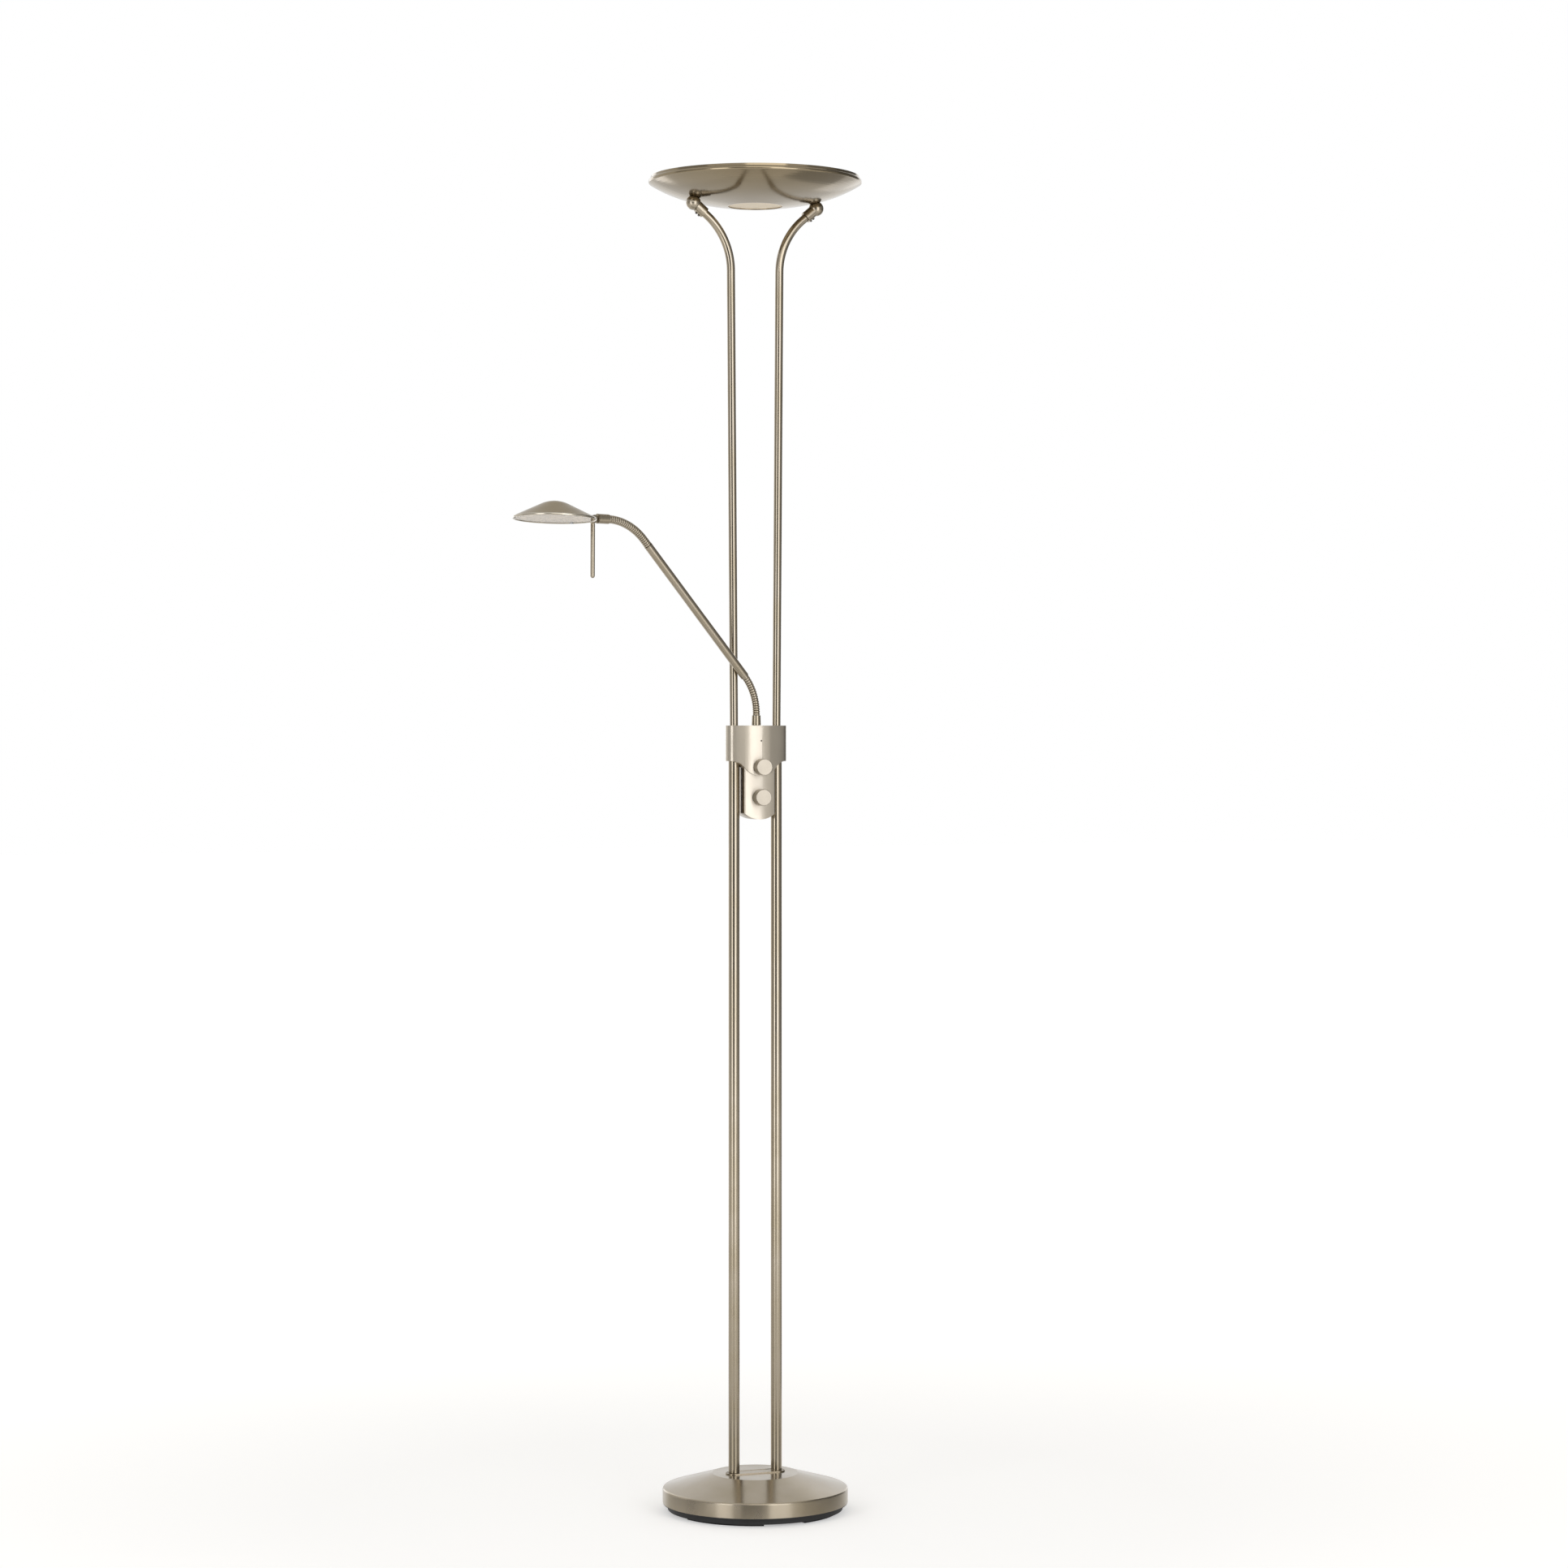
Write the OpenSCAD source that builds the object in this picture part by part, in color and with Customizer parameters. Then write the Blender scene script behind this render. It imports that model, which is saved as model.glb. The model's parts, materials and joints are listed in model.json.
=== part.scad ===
// Twin-pole torchiere floor lamp with an uplight bowl and a gooseneck reading arm.
// Millimetres. The origin is the centre of the base on the floor, +Z is up,
// the two poles stand along X, and the control knobs face -Y.

/* [Base] */
// Outer diameter of the base
base_d = 250; // [220:1:320]
// Height of the rubber foot pads
foot_h = 3; // [2:0.5:6]
// Radial width of a foot pad
foot_w = 14; // [8:1:20]
// Angle that one foot pad covers
foot_span = 60; // [30:1:75]
// Height of the plastic underside pan
pan_h = 9; // [9:0.5:14]
// Diameter of the underside pan below the cover
pan_d = 236; // [200:1:300]
// Wall of the underside pan
pan_wall = 2.5; // [1.5:0.1:4]
// Height of the vertical band of the cover
band_h = 20.5; // [14:0.5:40]
// Rise of the cover from the band to its flat top
cover_rise = 18.5; // [10:0.5:40]
// Diameter of the flat top of the cover
plateau_d = 116; // [100:1:140]
// Sheet thickness of the cover
cover_wall = 1.2; // [0.8:0.1:2]
// Radius of the cover's shoulder
shoulder_r = 3; // [2:0.1:5]
// Thickness of the oblong plate under the poles
plate_t = 1.5; // [1.2:0.1:3]
// Radius of the plate's round ends
plate_r = 11.7; // [10:0.1:16]
// Diameter of the cord that the inlet is made for
cord_d = 4; // [3:0.1:4.5]

/* [Poles] */
// Distance from the lamp's axis to each pole's axis
pole_x = 30.5; // [29:0.1:36]
// Outer diameter of the lower poles
lower_pole_d = 15; // [14:0.1:16]
// Outer diameter of the upper poles
upper_pole_d = 11.2; // [10:0.1:12]
// Wall of the lower pole tubes
lower_wall = 1.2; // [0.8:0.1:1.5]
// Wall of the upper pole tubes
upper_wall = 1; // [0.8:0.1:1.2]
// Angle that each upper pole leans outwards
splay = 0.4; // [0:0.1:0.8]
// Radius of the bend at the top of each arm
bend_r = 95; // [70:1:110]
// Angle of the bent arm from vertical where it meets its ball
arm_lean = 50; // [40:1:60]
// Straight length of the bent arm below its bend
bent_arm_foot = 34; // [20:1:80]

/* [Control box] */
// Height of the housing's top above the floor
box_top = 1058.8; // [900:1:1200]
// Height of the housing at its ends
box_end_h = 47.8; // [42:0.5:60]
// Radius of the housing's round ends
box_end_r = 12.5; // [11:0.1:14]
// How far the middle of the housing lies in front of the poles
box_shift = 2.8; // [1:0.1:4]
// Depth from the housing's middle to its bulging front
box_bulge = 20.2; // [18:0.1:22]
// How far the shield hangs below the housing's ends
shield_drop = 20.1; // [16:0.5:24]
// Radius at the bottom of the shield
shield_r = 28; // [22:1:34]
// Radius of the sweep from the shield to the ends
shield_sweep_r = 20; // [14:1:24]
// Wall of the housing and of the switch block
box_wall = 1.8; // [1.4:0.1:2]
// Width of the switch block
block_w = 44.2; // [42:0.1:45]
// Height of the lowest point of the switch block above the floor
block_low = 932.5; // [800:0.5:950]
// Radius of the switch block's rounded bottom
block_bottom_r = 33.3; // [28:0.5:60]
// Radius of the switch block's slightly bulging front
block_front_r = 120; // [100:1:300]
// Bevel on the switch block's front corners
block_bevel = 1.5; // [0.5:0.1:2]

/* [Knobs] */
// Diameter of the knobs
knob_d = 22; // [18:0.5:26]
// Length of the knobs
knob_len = 13; // [11:0.5:18]
// Height of the upper knob below the housing's top
upper_knob_drop = 55.8; // [50:0.5:58]
// Distance between the two knobs
knob_pitch = 40.8; // [34:0.5:44]
// Diameter of the dimmer shafts
shaft_d = 6; // [4:0.5:6]

/* [Bowl] */
// Height of the bowl's top edge above the floor
bowl_top = 1798; // [1700:1:1900]
// Largest diameter of the bowl
bowl_d = 288; // [270:1:320]
// How far the bowl's top edge stands in from its largest diameter
bowl_lip_in = 2.8; // [2.7:0.1:6]
// Height of the band between the bowl's edge and its crease
bowl_band_h = 3; // [2.5:0.5:14]
// Depth of the bowl below its crease
bowl_depth = 36; // [32:0.5:44]
// Diameter of the flat middle of the bowl's underside
bowl_flat_d = 76; // [60:1:90]
// Share of the bowl's rise that is straight rather than curved
bowl_straight = 0.45; // [0.3:0.01:0.6]
// Wall of the bowl's shell
bowl_wall = 1; // [0.8:0.1:1.5]
// Diameter of the round opening in the bowl's underside
glass_open_d = 73; // [50:1:76]
// Thickness of the frosted glass in that opening
glass_t = 3; // [2:0.5:4]
// Thickness of the plate that carries the lights
heat_plate_t = 2; // [1.5:0.1:4]
// Thickness of the opal diffuser
diffuser_t = 3; // [2:0.1:4]

/* [Pivots] */
// Distance from the lamp's axis to each ball's centre
ball_x = 88.7; // [80:0.1:100]
// Height of the balls' centres below the bowl's top edge
ball_drop = 38; // [36:0.5:44]
// Diameter of the pivot balls
ball_d = 20; // [18:0.5:24]
// Thickness of the ear that turns inside each ball
ear_t = 5; // [4:0.1:7]
// Diameter of the pivot pins
pin_d = 5; // [4:0.1:6]
// Outer diameter of the sleeve that joins ball and arm
sleeve_d = 15.5; // [14.4:0.1:17]
// Distance from the ball's centre to the end of the sleeve
sleeve_reach = 20.5; // [18:0.5:30]

/* [Reading arm] */
// Angle that the arm points forwards of the line through the poles
arm_turn = 16.6; // [16:0.1:60]
// How far the arm's swivel lies in front of the poles
arm_y = 4; // [4:0.1:5]
// Height of the tapered collar on the housing
collar_h = 13.7; // [12:0.1:20]
// Lean of the arm tube from vertical
tube_lean = 42.4; // [35:0.1:60]
// Length of the arm tube
tube_len = 235; // [150:1:320]
// Diameter of the arm tube
tube_d = 11.5; // [11:0.1:11.6]
// Wall of the arm tube
tube_wall = 1; // [0.8:0.1:1.2]
// Length of the neck tube behind the head
neck_len = 17.5; // [16:0.5:30]
// Diameter of the neck tube
neck_d = 12.9; // [12:0.1:13]

/* [Goosenecks] */
// Outer diameter of the lower gooseneck's rings
lower_ring_d = 9.8; // [9.4:0.1:10.6]
// Outer diameter of the upper gooseneck's rings
upper_ring_d = 11; // [10.6:0.1:11.6]
// Distance from ring to ring of the lower gooseneck
lower_pitch = 3.6; // [3.5:0.05:4.5]
// Distance from ring to ring of the upper gooseneck
upper_pitch = 3.2; // [3.1:0.05:4]
// Gap between rings of the lower gooseneck
lower_groove = 1.2; // [1.15:0.05:1.5]
// Gap between rings of the upper gooseneck
upper_groove = 1.1; // [1.1:0.05:1.4]

/* [Reading head] */
// Diameter of the reading head
head_d = 110; // [100:1:130]
// Height of the head's dome above its rim
head_h = 23.7; // [22:0.1:30]
// Slope of the dome's flank
head_slope = 25.5; // [22:0.5:28]
// Distance from the tilt pin to the head's centre
head_reach = 60.7; // [60:0.1:80]
// Depth of the head's rim below the tilt pin
head_sag = 5.9; // [5:0.1:7]
// Wall of the dome
head_wall = 1; // [0.8:0.1:1.4]
// Angle that the head is rolled about the neck
head_roll = 2; // [0:0.5:15]
// Angle above level at which the neck meets the head
neck_rise = 2.1; // [0:0.1:6]
// Angle that the front of the head is raised
head_pitch = 2.2; // [0:0.2:10]
// Diameter of the handle rod
handle_d = 5.9; // [5:0.1:6.2]
// Length of the handle rod
handle_len = 71; // [50:1:100]
// Angle that brings the handle rod back to upright
handle_lean = 1.5; // [-8:0.5:2]

/* [Fits] */
// Radial clearance of shafts, pins and sockets that turn
run_fit = 0.05; // [0.02:0.01:0.08]
// Radial clearance of parts that are pushed together and stay
slip_fit = 0.05; // [0.02:0.01:0.1]
// Gap between parts that move past one another
air = 0.3; // [0.3:0.05:0.4]

/* [Hidden] */
$fn = 72;
cut = 1;                 // overshoot of a cut past the face it opens
seat = 0.1;              // gap between pieces that rest on one another

nickel = [0.72, 0.68, 0.60];
black = [0.08, 0.08, 0.08];
steel = [0.62, 0.62, 0.64];
iron = [0.25, 0.25, 0.26];
white = [0.93, 0.92, 0.88];
frost = [0.93, 0.89, 0.76];
chrome = [0.85, 0.85, 0.86];

// ---------- base ----------
pan_z = foot_h;
cover_z = pan_z + pan_h;
shoulder_z = cover_z + band_h;
plateau_z = shoulder_z + cover_rise;
plate_lip = 0.4;                       // height of the plate's raised edge
plate_lip_w = 1.1;                     // width of the plate's raised edge
pole_z = plateau_z + plate_t - plate_lip;
cover_beta = atan(cover_rise / (base_d / 2 - plateau_d / 2));
pan_flange_t = 1.2;
weight_d = pan_d - 2 * pan_wall - 2;
weight_recess_d = 0.74 * weight_d;
weight_recess_h = 10;
nipple_d = 10;
nipple_bore = 6.5;
nipple_head = 20;                      // length of the nipple inside the pole
nut_af = 17;
nut_h = 6;
washer_t = 1.5;
washer_d = 24;
pocket_d = washer_d + 4;
weight_z = pan_z + pan_wall + seat;
pocket_top = weight_z + weight_recess_h + 3;
screw_d = 4;
screw_ring_r = pan_d / 2 - 19;
screw_turn = 5;                        // keeps the screws clear of the cord slot and the feet
grommet_body_d = cord_d + 2.4;
grommet_flange_d = grommet_body_d + 1;
grommet_flange_t = 1.2;
// The grommet's outer flange stays clear of the pan's rim.
grommet_z = cover_z - pan_flange_t - 2 * slip_fit - grommet_flange_d / 2;
cord_slot_w = 8;

module ring2d(d, bore) {
  difference() {
    circle(d = d);
    circle(d = bore);
  }
}

module tube(h, d, bore) {
  linear_extrude(h) ring2d(d, bore);
}

module at_poles() {
  for (s = [-1, 1]) translate([s * pole_x, 0, 0]) children();
}

module on_side(s) {
  if (s > 0) children();
  else mirror([1, 0, 0]) children();
}

function arc(cx, cy, r, a0, a1, n) =
  [for (i = [0:n]) let(a = a0 + (a1 - a0) * i / n) [cx + r * cos(a), cy + r * sin(a)]];

// Half section of the cover's outside, set back by t.
function cover_line(t) = concat(
  [[base_d / 2 - t, cover_z]],
  arc(base_d / 2 - shoulder_r, shoulder_z - shoulder_r, shoulder_r - t, 0, 90 - cover_beta, 8),
  [[plateau_d / 2, plateau_z - t], [0, plateau_z - t]]);

module nipple_holes(z, h, d) {
  at_poles() translate([0, 0, z]) cylinder(h = h, d = d);
}

module base_cover() {
  color(nickel) difference() {
    rotate_extrude() polygon(concat(cover_line(0), [for (i = [len(cover_line(0)) - 1:-1:0])
      cover_line(cover_wall)[i]]));
    nipple_holes(plateau_z - cover_wall - cut, cover_wall + 2 * cut, nipple_d + 0.4);
  }
}

module base_weight() {
  top = plateau_z - cover_wall - seat;
  slope_z = shoulder_z - cover_wall - shoulder_r;
  color(iron) difference() {
    rotate_extrude() polygon([[0, weight_z + weight_recess_h], [weight_recess_d / 2, weight_z + weight_recess_h],
      [weight_recess_d / 2, weight_z], [weight_d / 2, weight_z], [weight_d / 2, slope_z],
      [plateau_d / 2 - 2 * cover_wall, top], [0, top]]);
    nipple_holes(weight_z, plateau_z, nipple_d + 0.4);
    nipple_holes(weight_z, pocket_top - weight_z, pocket_d);
    translate([-cord_slot_w / 2, 0, weight_z - cut]) cube([cord_slot_w, weight_d, weight_recess_h + cut]);
    underside_screw_places() translate([0, 0, weight_z - cut]) cylinder(h = 10, d = screw_d);
  }
}

module underside_screw_places() {
  for (a = [0:90:270]) rotate(a + screw_turn) translate([screw_ring_r, 0, 0]) children();
}

module base_underside() {
  floor_top = pan_z + pan_wall;
  color(black) difference() {
    union() {
      translate([0, 0, pan_z]) cylinder(h = pan_wall, d = pan_d);
      translate([0, 0, pan_z]) tube(pan_h, pan_d, pan_d - 2 * pan_wall);
      translate([0, 0, cover_z - pan_flange_t]) tube(pan_flange_t, base_d - 1.2, pan_d - 2 * pan_wall);
    }
    underside_screw_places() translate([0, 0, pan_z - cut]) cylinder(h = pan_wall + 2 * cut, d = screw_d + 0.4);
    translate([0, pan_d / 2 - 2 * pan_wall, grommet_z]) rotate([-90, 0, 0])
      cylinder(h = 3 * pan_wall, d = grommet_body_d + 2 * slip_fit);
  }
}

module base_feet() {
  foot_r = pan_d / 2 - 6;
  color(black) for (k = [0:3]) rotate(45 + 90 * k - foot_span / 2)
    rotate_extrude(angle = foot_span) translate([foot_r - foot_w, 0]) square([foot_w, foot_h]);
}

module stadium(r) {
  at_poles() circle(r = r);
  translate([-pole_x, -r]) square([2 * pole_x, 2 * r]);
}

module pole_plate() {
  color(nickel) translate([0, 0, plateau_z]) difference() {
    linear_extrude(plate_t) stadium(plate_r);
    translate([0, 0, plate_t - plate_lip]) linear_extrude(plate_t) stadium(plate_r - plate_lip_w);
    nipple_holes(-cut, plate_t + 2 * cut, nipple_d + 0.4);
  }
}

module base_nipples() {
  bottom = pocket_top - washer_t - nut_h - 2;
  color(steel) at_poles() difference() {
    union() {
      translate([0, 0, bottom]) cylinder(h = pole_z - bottom, d = nipple_d);
      translate([0, 0, pole_z]) cylinder(h = nipple_head, d = lower_pole_d - 2 * lower_wall - 2 * slip_fit);
    }
    translate([0, 0, bottom - cut]) cylinder(h = plateau_z + nipple_head, d = nipple_bore);
  }
}

module nipple_nuts() {
  color(steel) at_poles() {
    translate([0, 0, pocket_top - washer_t]) tube(washer_t, washer_d, nipple_d + 2 * slip_fit);
    translate([0, 0, pocket_top - washer_t - nut_h]) linear_extrude(nut_h) difference() {
      circle(d = nut_af / cos(30), $fn = 6);
      circle(d = nipple_d + 2 * slip_fit);
    }
  }
}

module underside_screws() {
  head_h = 1.5;
  color(steel) underside_screw_places() {
    translate([0, 0, pan_z - head_h]) cylinder(h = head_h, d = 2 * screw_d);
    translate([0, 0, pan_z]) cylinder(h = pan_wall + 8, d = screw_d - 2 * slip_fit);
  }
}

module cord_grommet() {
  color(black) translate([0, pan_d / 2 - pan_wall, grommet_z]) rotate([-90, 0, 0]) difference() {
    union() {
      translate([0, 0, -grommet_flange_t]) cylinder(h = grommet_flange_t + pan_wall + cut, d = grommet_body_d);
      translate([0, 0, pan_wall]) cylinder(h = grommet_flange_t, d = grommet_flange_d);
    }
    translate([0, 0, -grommet_flange_t - cut])
      cylinder(h = pan_wall + 2 * grommet_flange_t + 2 * cut, d = cord_d + 0.2);
  }
}

// ---------- poles ----------
joint_z = box_top - 28.8;              // top of the lower poles, inside the housing
joiner_plug = 18;
joiner_head = 16;
joiner_floor = 2;
upper_z = joint_z + joiner_floor;      // foot of the upper poles
lower_bore = lower_pole_d - 2 * lower_wall;
upper_bore = upper_pole_d - 2 * upper_wall;
spigot_bore = upper_bore - 2.2;
spigot_len = 20;
ball_z = bowl_top - ball_drop;
// Where the pole's line and the bent arm's line cross, measured along each of them.
turn = arm_lean - splay;
dx_ball = ball_x - pole_x;
dz_ball = ball_z - upper_z;
pole_to_corner = (dz_ball * sin(arm_lean) - dx_ball * cos(arm_lean)) / sin(turn);
ball_to_corner = (dx_ball * cos(splay) - dz_ball * sin(splay)) / sin(turn);
bend_tangent = bend_r * tan(turn / 2);
upper_pole_len = pole_to_corner - bend_tangent - bent_arm_foot;
sleeve_bore_end = 9.5;                 // distance from the ball's centre to the bore's end
arm_end_len = ball_to_corner - bend_tangent - sleeve_bore_end - seat;

module pole_lean() {
  translate([pole_x, 0, upper_z]) rotate([0, splay, 0]) children();
}

// A tube along an arc that starts at the origin along +Z and turns towards +X.
module arc_tube(r, angle, d, bore) {
  translate([r, 0, 0]) rotate([90, 0, 180]) rotate_extrude(angle = angle)
    translate([r, 0]) ring2d(d, bore);
}

module after_arc(r, angle) {
  translate([r * (1 - cos(angle)), 0, r * sin(angle)]) rotate([0, angle, 0]) children();
}

module lower_pole(s) {
  color(nickel) translate([s * pole_x, 0, pole_z]) tube(joint_z - pole_z, lower_pole_d, lower_bore);
}

module lower_pole_left() lower_pole(-1);
module lower_pole_right() lower_pole(1);

module pole_joiners() {
  color(steel) for (s = [-1, 1]) on_side(s) difference() {
    union() {
      translate([pole_x, 0, joint_z - joiner_plug]) cylinder(h = joiner_plug, d = lower_bore - 2 * slip_fit);
      translate([pole_x, 0, joint_z]) cylinder(h = joiner_head, d = lower_pole_d);
    }
    translate([pole_x, 0, joint_z - joiner_plug - cut]) cylinder(h = 2 * joiner_plug, d = spigot_bore);
    pole_lean() cylinder(h = 2 * joiner_head, d = upper_pole_d + 2 * slip_fit);
  }
}

module upper_pole(s) {
  color(nickel) on_side(s) pole_lean() tube(upper_pole_len, upper_pole_d, upper_bore);
}

module upper_pole_left() upper_pole(-1);
module upper_pole_right() upper_pole(1);

// The straight end is sized down a touch so that the sleeve slips over it.
module bent_arm(s) {
  thick = 10;
  sizing = 0.01;
  sizing_lap = 0.5;
  color(nickel) on_side(s) pole_lean() translate([0, 0, upper_pole_len]) {
    difference() {
      union() {
        cylinder(h = bent_arm_foot, d = upper_pole_d);
        translate([0, 0, -spigot_len]) cylinder(h = spigot_len + 1, d = upper_bore - 2 * slip_fit);
      }
      translate([0, 0, -spigot_len - cut]) cylinder(h = spigot_len + thick + cut + 0.5, d = spigot_bore);
      translate([0, 0, thick]) cylinder(h = bent_arm_foot, d = upper_bore);
    }
    translate([0, 0, bent_arm_foot]) {
      arc_tube(bend_r, turn, upper_pole_d, upper_bore);
      after_arc(bend_r, turn) translate([0, 0, -sizing_lap])
        tube(arm_end_len + sizing_lap, upper_pole_d - 2 * sizing, upper_bore + 2 * sizing);
    }
  }
}

module bent_arm_left() bent_arm(-1);
module bent_arm_right() bent_arm(1);

// ---------- pivots ----------
ear_gap = ear_t / 2 + run_fit;
sleeve_bore = upper_pole_d + 2 * slip_fit;
sleeve_mouth = sleeve_bore + 0.9;      // visible play where the arm enters the sleeve
grub_d = 3;
pin_grip = 6;                          // length of the pin held in the inner cheek

module at_ball(s) {
  on_side(s) translate([ball_x, 0, ball_z]) children();
}

// Half space on the outer side of a plane across X.
module beyond(x) {
  translate([x, -2 * ball_d, -2 * ball_d]) cube(4 * ball_d);
}

module along_x() {
  rotate([0, 90, 0]) children();
}

// The sleeve and the inner cheek of the ball are one turned piece.
module knuckle(s) {
  color(nickel) at_ball(s) difference() {
    union() {
      along_x() rotate_extrude() intersection() {
        circle(d = ball_d);
        translate([0, -ball_d]) square([ball_d, ball_d - ear_gap]);
      }
      difference() {
        rotate([0, arm_lean, 0]) translate([0, 0, -sleeve_reach]) cylinder(h = sleeve_reach, d = sleeve_d);
        beyond(-ear_gap);
      }
    }
    rotate([0, arm_lean, 0]) {
      translate([0, 0, -sleeve_reach - cut]) cylinder(h = sleeve_reach + cut - sleeve_bore_end, d = sleeve_bore);
      translate([0, 0, -sleeve_reach - cut]) cylinder(h = cut + 2, d = sleeve_mouth);
      grub_places() translate([0, 0, sleeve_bore / 2 - 1]) cylinder(h = sleeve_d, d = grub_d);
    }
    along_x() translate([0, 0, -ear_gap - pin_grip - 0.5]) cylinder(h = pin_grip + 1, d = pin_d);
  }
}

module grub_places() {
  for (z = [-sleeve_reach + 4, -sleeve_reach + 8.5]) translate([0, 0, z]) rotate([0, 90, 0]) children();
}

module knuckle_left() knuckle(-1);
module knuckle_right() knuckle(1);

// The outer cheek is a domed cap with the pivot pin in one piece.
module ball_caps() {
  color(nickel) for (s = [-1, 1]) at_ball(s) along_x() rotate_extrude() {
    intersection() {
      circle(d = ball_d);
      translate([0, ear_gap]) square(ball_d);
    }
    translate([0, -ear_gap - pin_grip]) square([pin_d / 2 - slip_fit, 2 * ear_gap + pin_grip + 1]);
  }
}

module grub_screws() {
  color(steel) {
    for (s = [-1, 1]) at_ball(s) rotate([0, arm_lean, 0]) grub_places()
      translate([0, 0, sleeve_bore / 2]) cylinder(h = (sleeve_d - sleeve_bore) / 2 + 1.2, d = grub_d - 2 * slip_fit);
    translate([0, box_front - 0.1, bushing_screw_z]) rotate([-90, 0, 0])
      cylinder(h = -arm_y - bushing_d / 2 - box_front, d = bushing_screw_d - 2 * slip_fit);
  }
}

// ---------- bowl ----------
crease_z = bowl_top - bowl_band_h;
bowl_low = crease_z - bowl_depth;
bowl_lip_d = bowl_d - 2 * bowl_lip_in;
nose_r = 3.2;                                    // radius of the rounded turn below the crease
nose_drop = 3.3;                                 // middle of that turn, below the crease
nose_foot = 50;                                  // angle below level where the turn meets the underside
bullnose_z = nose_drop + nose_r * sin(nose_foot);
bowl_curve = bowl_d / 2 - nose_r * (1 - cos(nose_foot)) - 0.4 - bowl_flat_d / 2;   // radial run of the curved underside
bowl_steps = 24;
dimple_r = ball_d / 2 + air;
boss_top = ball_z + 15;
boss_d = 16;
shoulder_h = 1.2;                                // height of the ear's shoulder above the dimple
stem_d = 8;
thread_d = 6;
bracket_t = 2.5;
bracket_w = 16;
standoff_x = 60;
standoff_d = 7;
heat_plate_z = boss_top + bracket_t + 7.5;
board_t = 1.6;
led_h = 0.8;
diffuser_z = bowl_top - 1.5 - diffuser_t;
retainer_t = 3;

// Height of the underside at a radius, set back by t: straight and cubic shares of the rise.
function bowl_under(x) = (bowl_depth - bullnose_z) * (bowl_straight * x + (1 - bowl_straight) * x * x * x);
function bowl_line(t) = concat(
  [[glass_open_d / 2, bowl_low + t]],
  [for (i = [0:bowl_steps]) let(x = i / bowl_steps)
    [bowl_flat_d / 2 + bowl_curve * x - 0.35 * t, bowl_low + bowl_under(x) + t]],
  [for (a = [10 - nose_foot:10:80]) [bowl_d / 2 - nose_r + (nose_r - t) * cos(a), crease_z - nose_drop + (nose_r - t) * sin(a)]],
  [[bowl_lip_d / 2 - t, crease_z], [bowl_lip_d / 2 - 0.3 - t, bowl_top]]);
// The shell's inner radius at a height, and its inner height at a radius.
inner_line = bowl_line(bowl_wall);
function inner_r(z) = lookup(z, [for (p = inner_line) [p[1], p[0]]]);
function inner_z(r) = lookup(r, [for (p = inner_line) p]);

module at_balls() {
  for (s = [-1, 1]) at_ball(s) children();
}

function reversed(list) = [for (i = [len(list) - 1:-1:0]) list[i]];

module bowl_shell() {
  outer = bowl_line(0);
  color(nickel) difference() {
    union() {
      rotate_extrude() polygon(concat(outer, reversed(inner_line)));
      intersection() {
        at_balls() {
          sphere(r = dimple_r + bowl_wall);
          cylinder(h = boss_top - ball_z, d = boss_d);
        }
        rotate_extrude() polygon(concat([[0, bowl_low]], outer, [[0, bowl_top]]));
      }
    }
    at_balls() {
      sphere(r = dimple_r);
      cylinder(h = dimple_r + bowl_wall + shoulder_h, d = stem_d + 2 * slip_fit);
      cylinder(h = 2 * boss_d, d = thread_d + 2 * slip_fit);
    }
  }
}

// The middle slice of each ball, with the stem that carries the bowl.
module pivot_ears() {
  shoulder = dimple_r + bowl_wall + shoulder_h - seat;
  color(nickel) at_balls() difference() {
    union() {
      intersection() {
        sphere(d = ball_d);
        translate([-ear_t / 2, -ball_d, -ball_d]) cube([ear_t, 2 * ball_d, 2 * ball_d]);
      }
      cylinder(h = shoulder, d = ear_t - 0.1);
      translate([0, 0, dimple_r + seat]) cylinder(h = shoulder - dimple_r - seat, d = stem_d);
      cylinder(h = boss_top - ball_z + bracket_t + 4, d = thread_d - 2);
      translate([0, 0, shoulder]) cylinder(h = boss_top - ball_z + bracket_t + 4 - shoulder, d = thread_d);
    }
    along_x() translate([0, 0, -ear_t]) cylinder(h = 2 * ear_t, d = pin_d);
  }
}

// A steel strap across the bowl with a nut welded over each stem.
module cross_bracket() {
  nut_t = 4.2;
  color(steel) difference() {
    union() {
      translate([-ball_x - bracket_w / 2, -bracket_w / 2, boss_top])
        cube([2 * ball_x + bracket_w, bracket_w, bracket_t]);
      for (s = [-1, 1]) translate([s * ball_x, 0, boss_top + bracket_t])
        linear_extrude(nut_t) circle(d = 10 / cos(30), $fn = 6);
    }
    for (s = [-1, 1]) translate([s * ball_x, 0, boss_top - cut])
      cylinder(h = 10 + bracket_t, d = thread_d + 2 * slip_fit);
    for (s = [-1, 1]) translate([s * standoff_x, 0, boss_top - cut]) cylinder(h = 2 * bracket_t + cut, d = 3.2);
  }
}

glass_z = bowl_low + bowl_wall;
glass_d = bowl_flat_d - 1.2;

module bottom_glass() {
  color(frost) translate([0, 0, glass_z]) cylinder(h = glass_t, d = glass_d);
}

module glass_retainer() {
  z = glass_z + glass_t;
  inner = glass_open_d / 2 - 2;
  step = glass_d / 2 + 0.4;
  outer = glass_d / 2 + 6.6;
  color(steel) rotate_extrude() polygon([[inner, z], [step, z], [step, inner_z(step) + seat],
    [outer, inner_z(outer) + seat], [outer, z + retainer_t], [inner, z + retainer_t]]);
}

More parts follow.
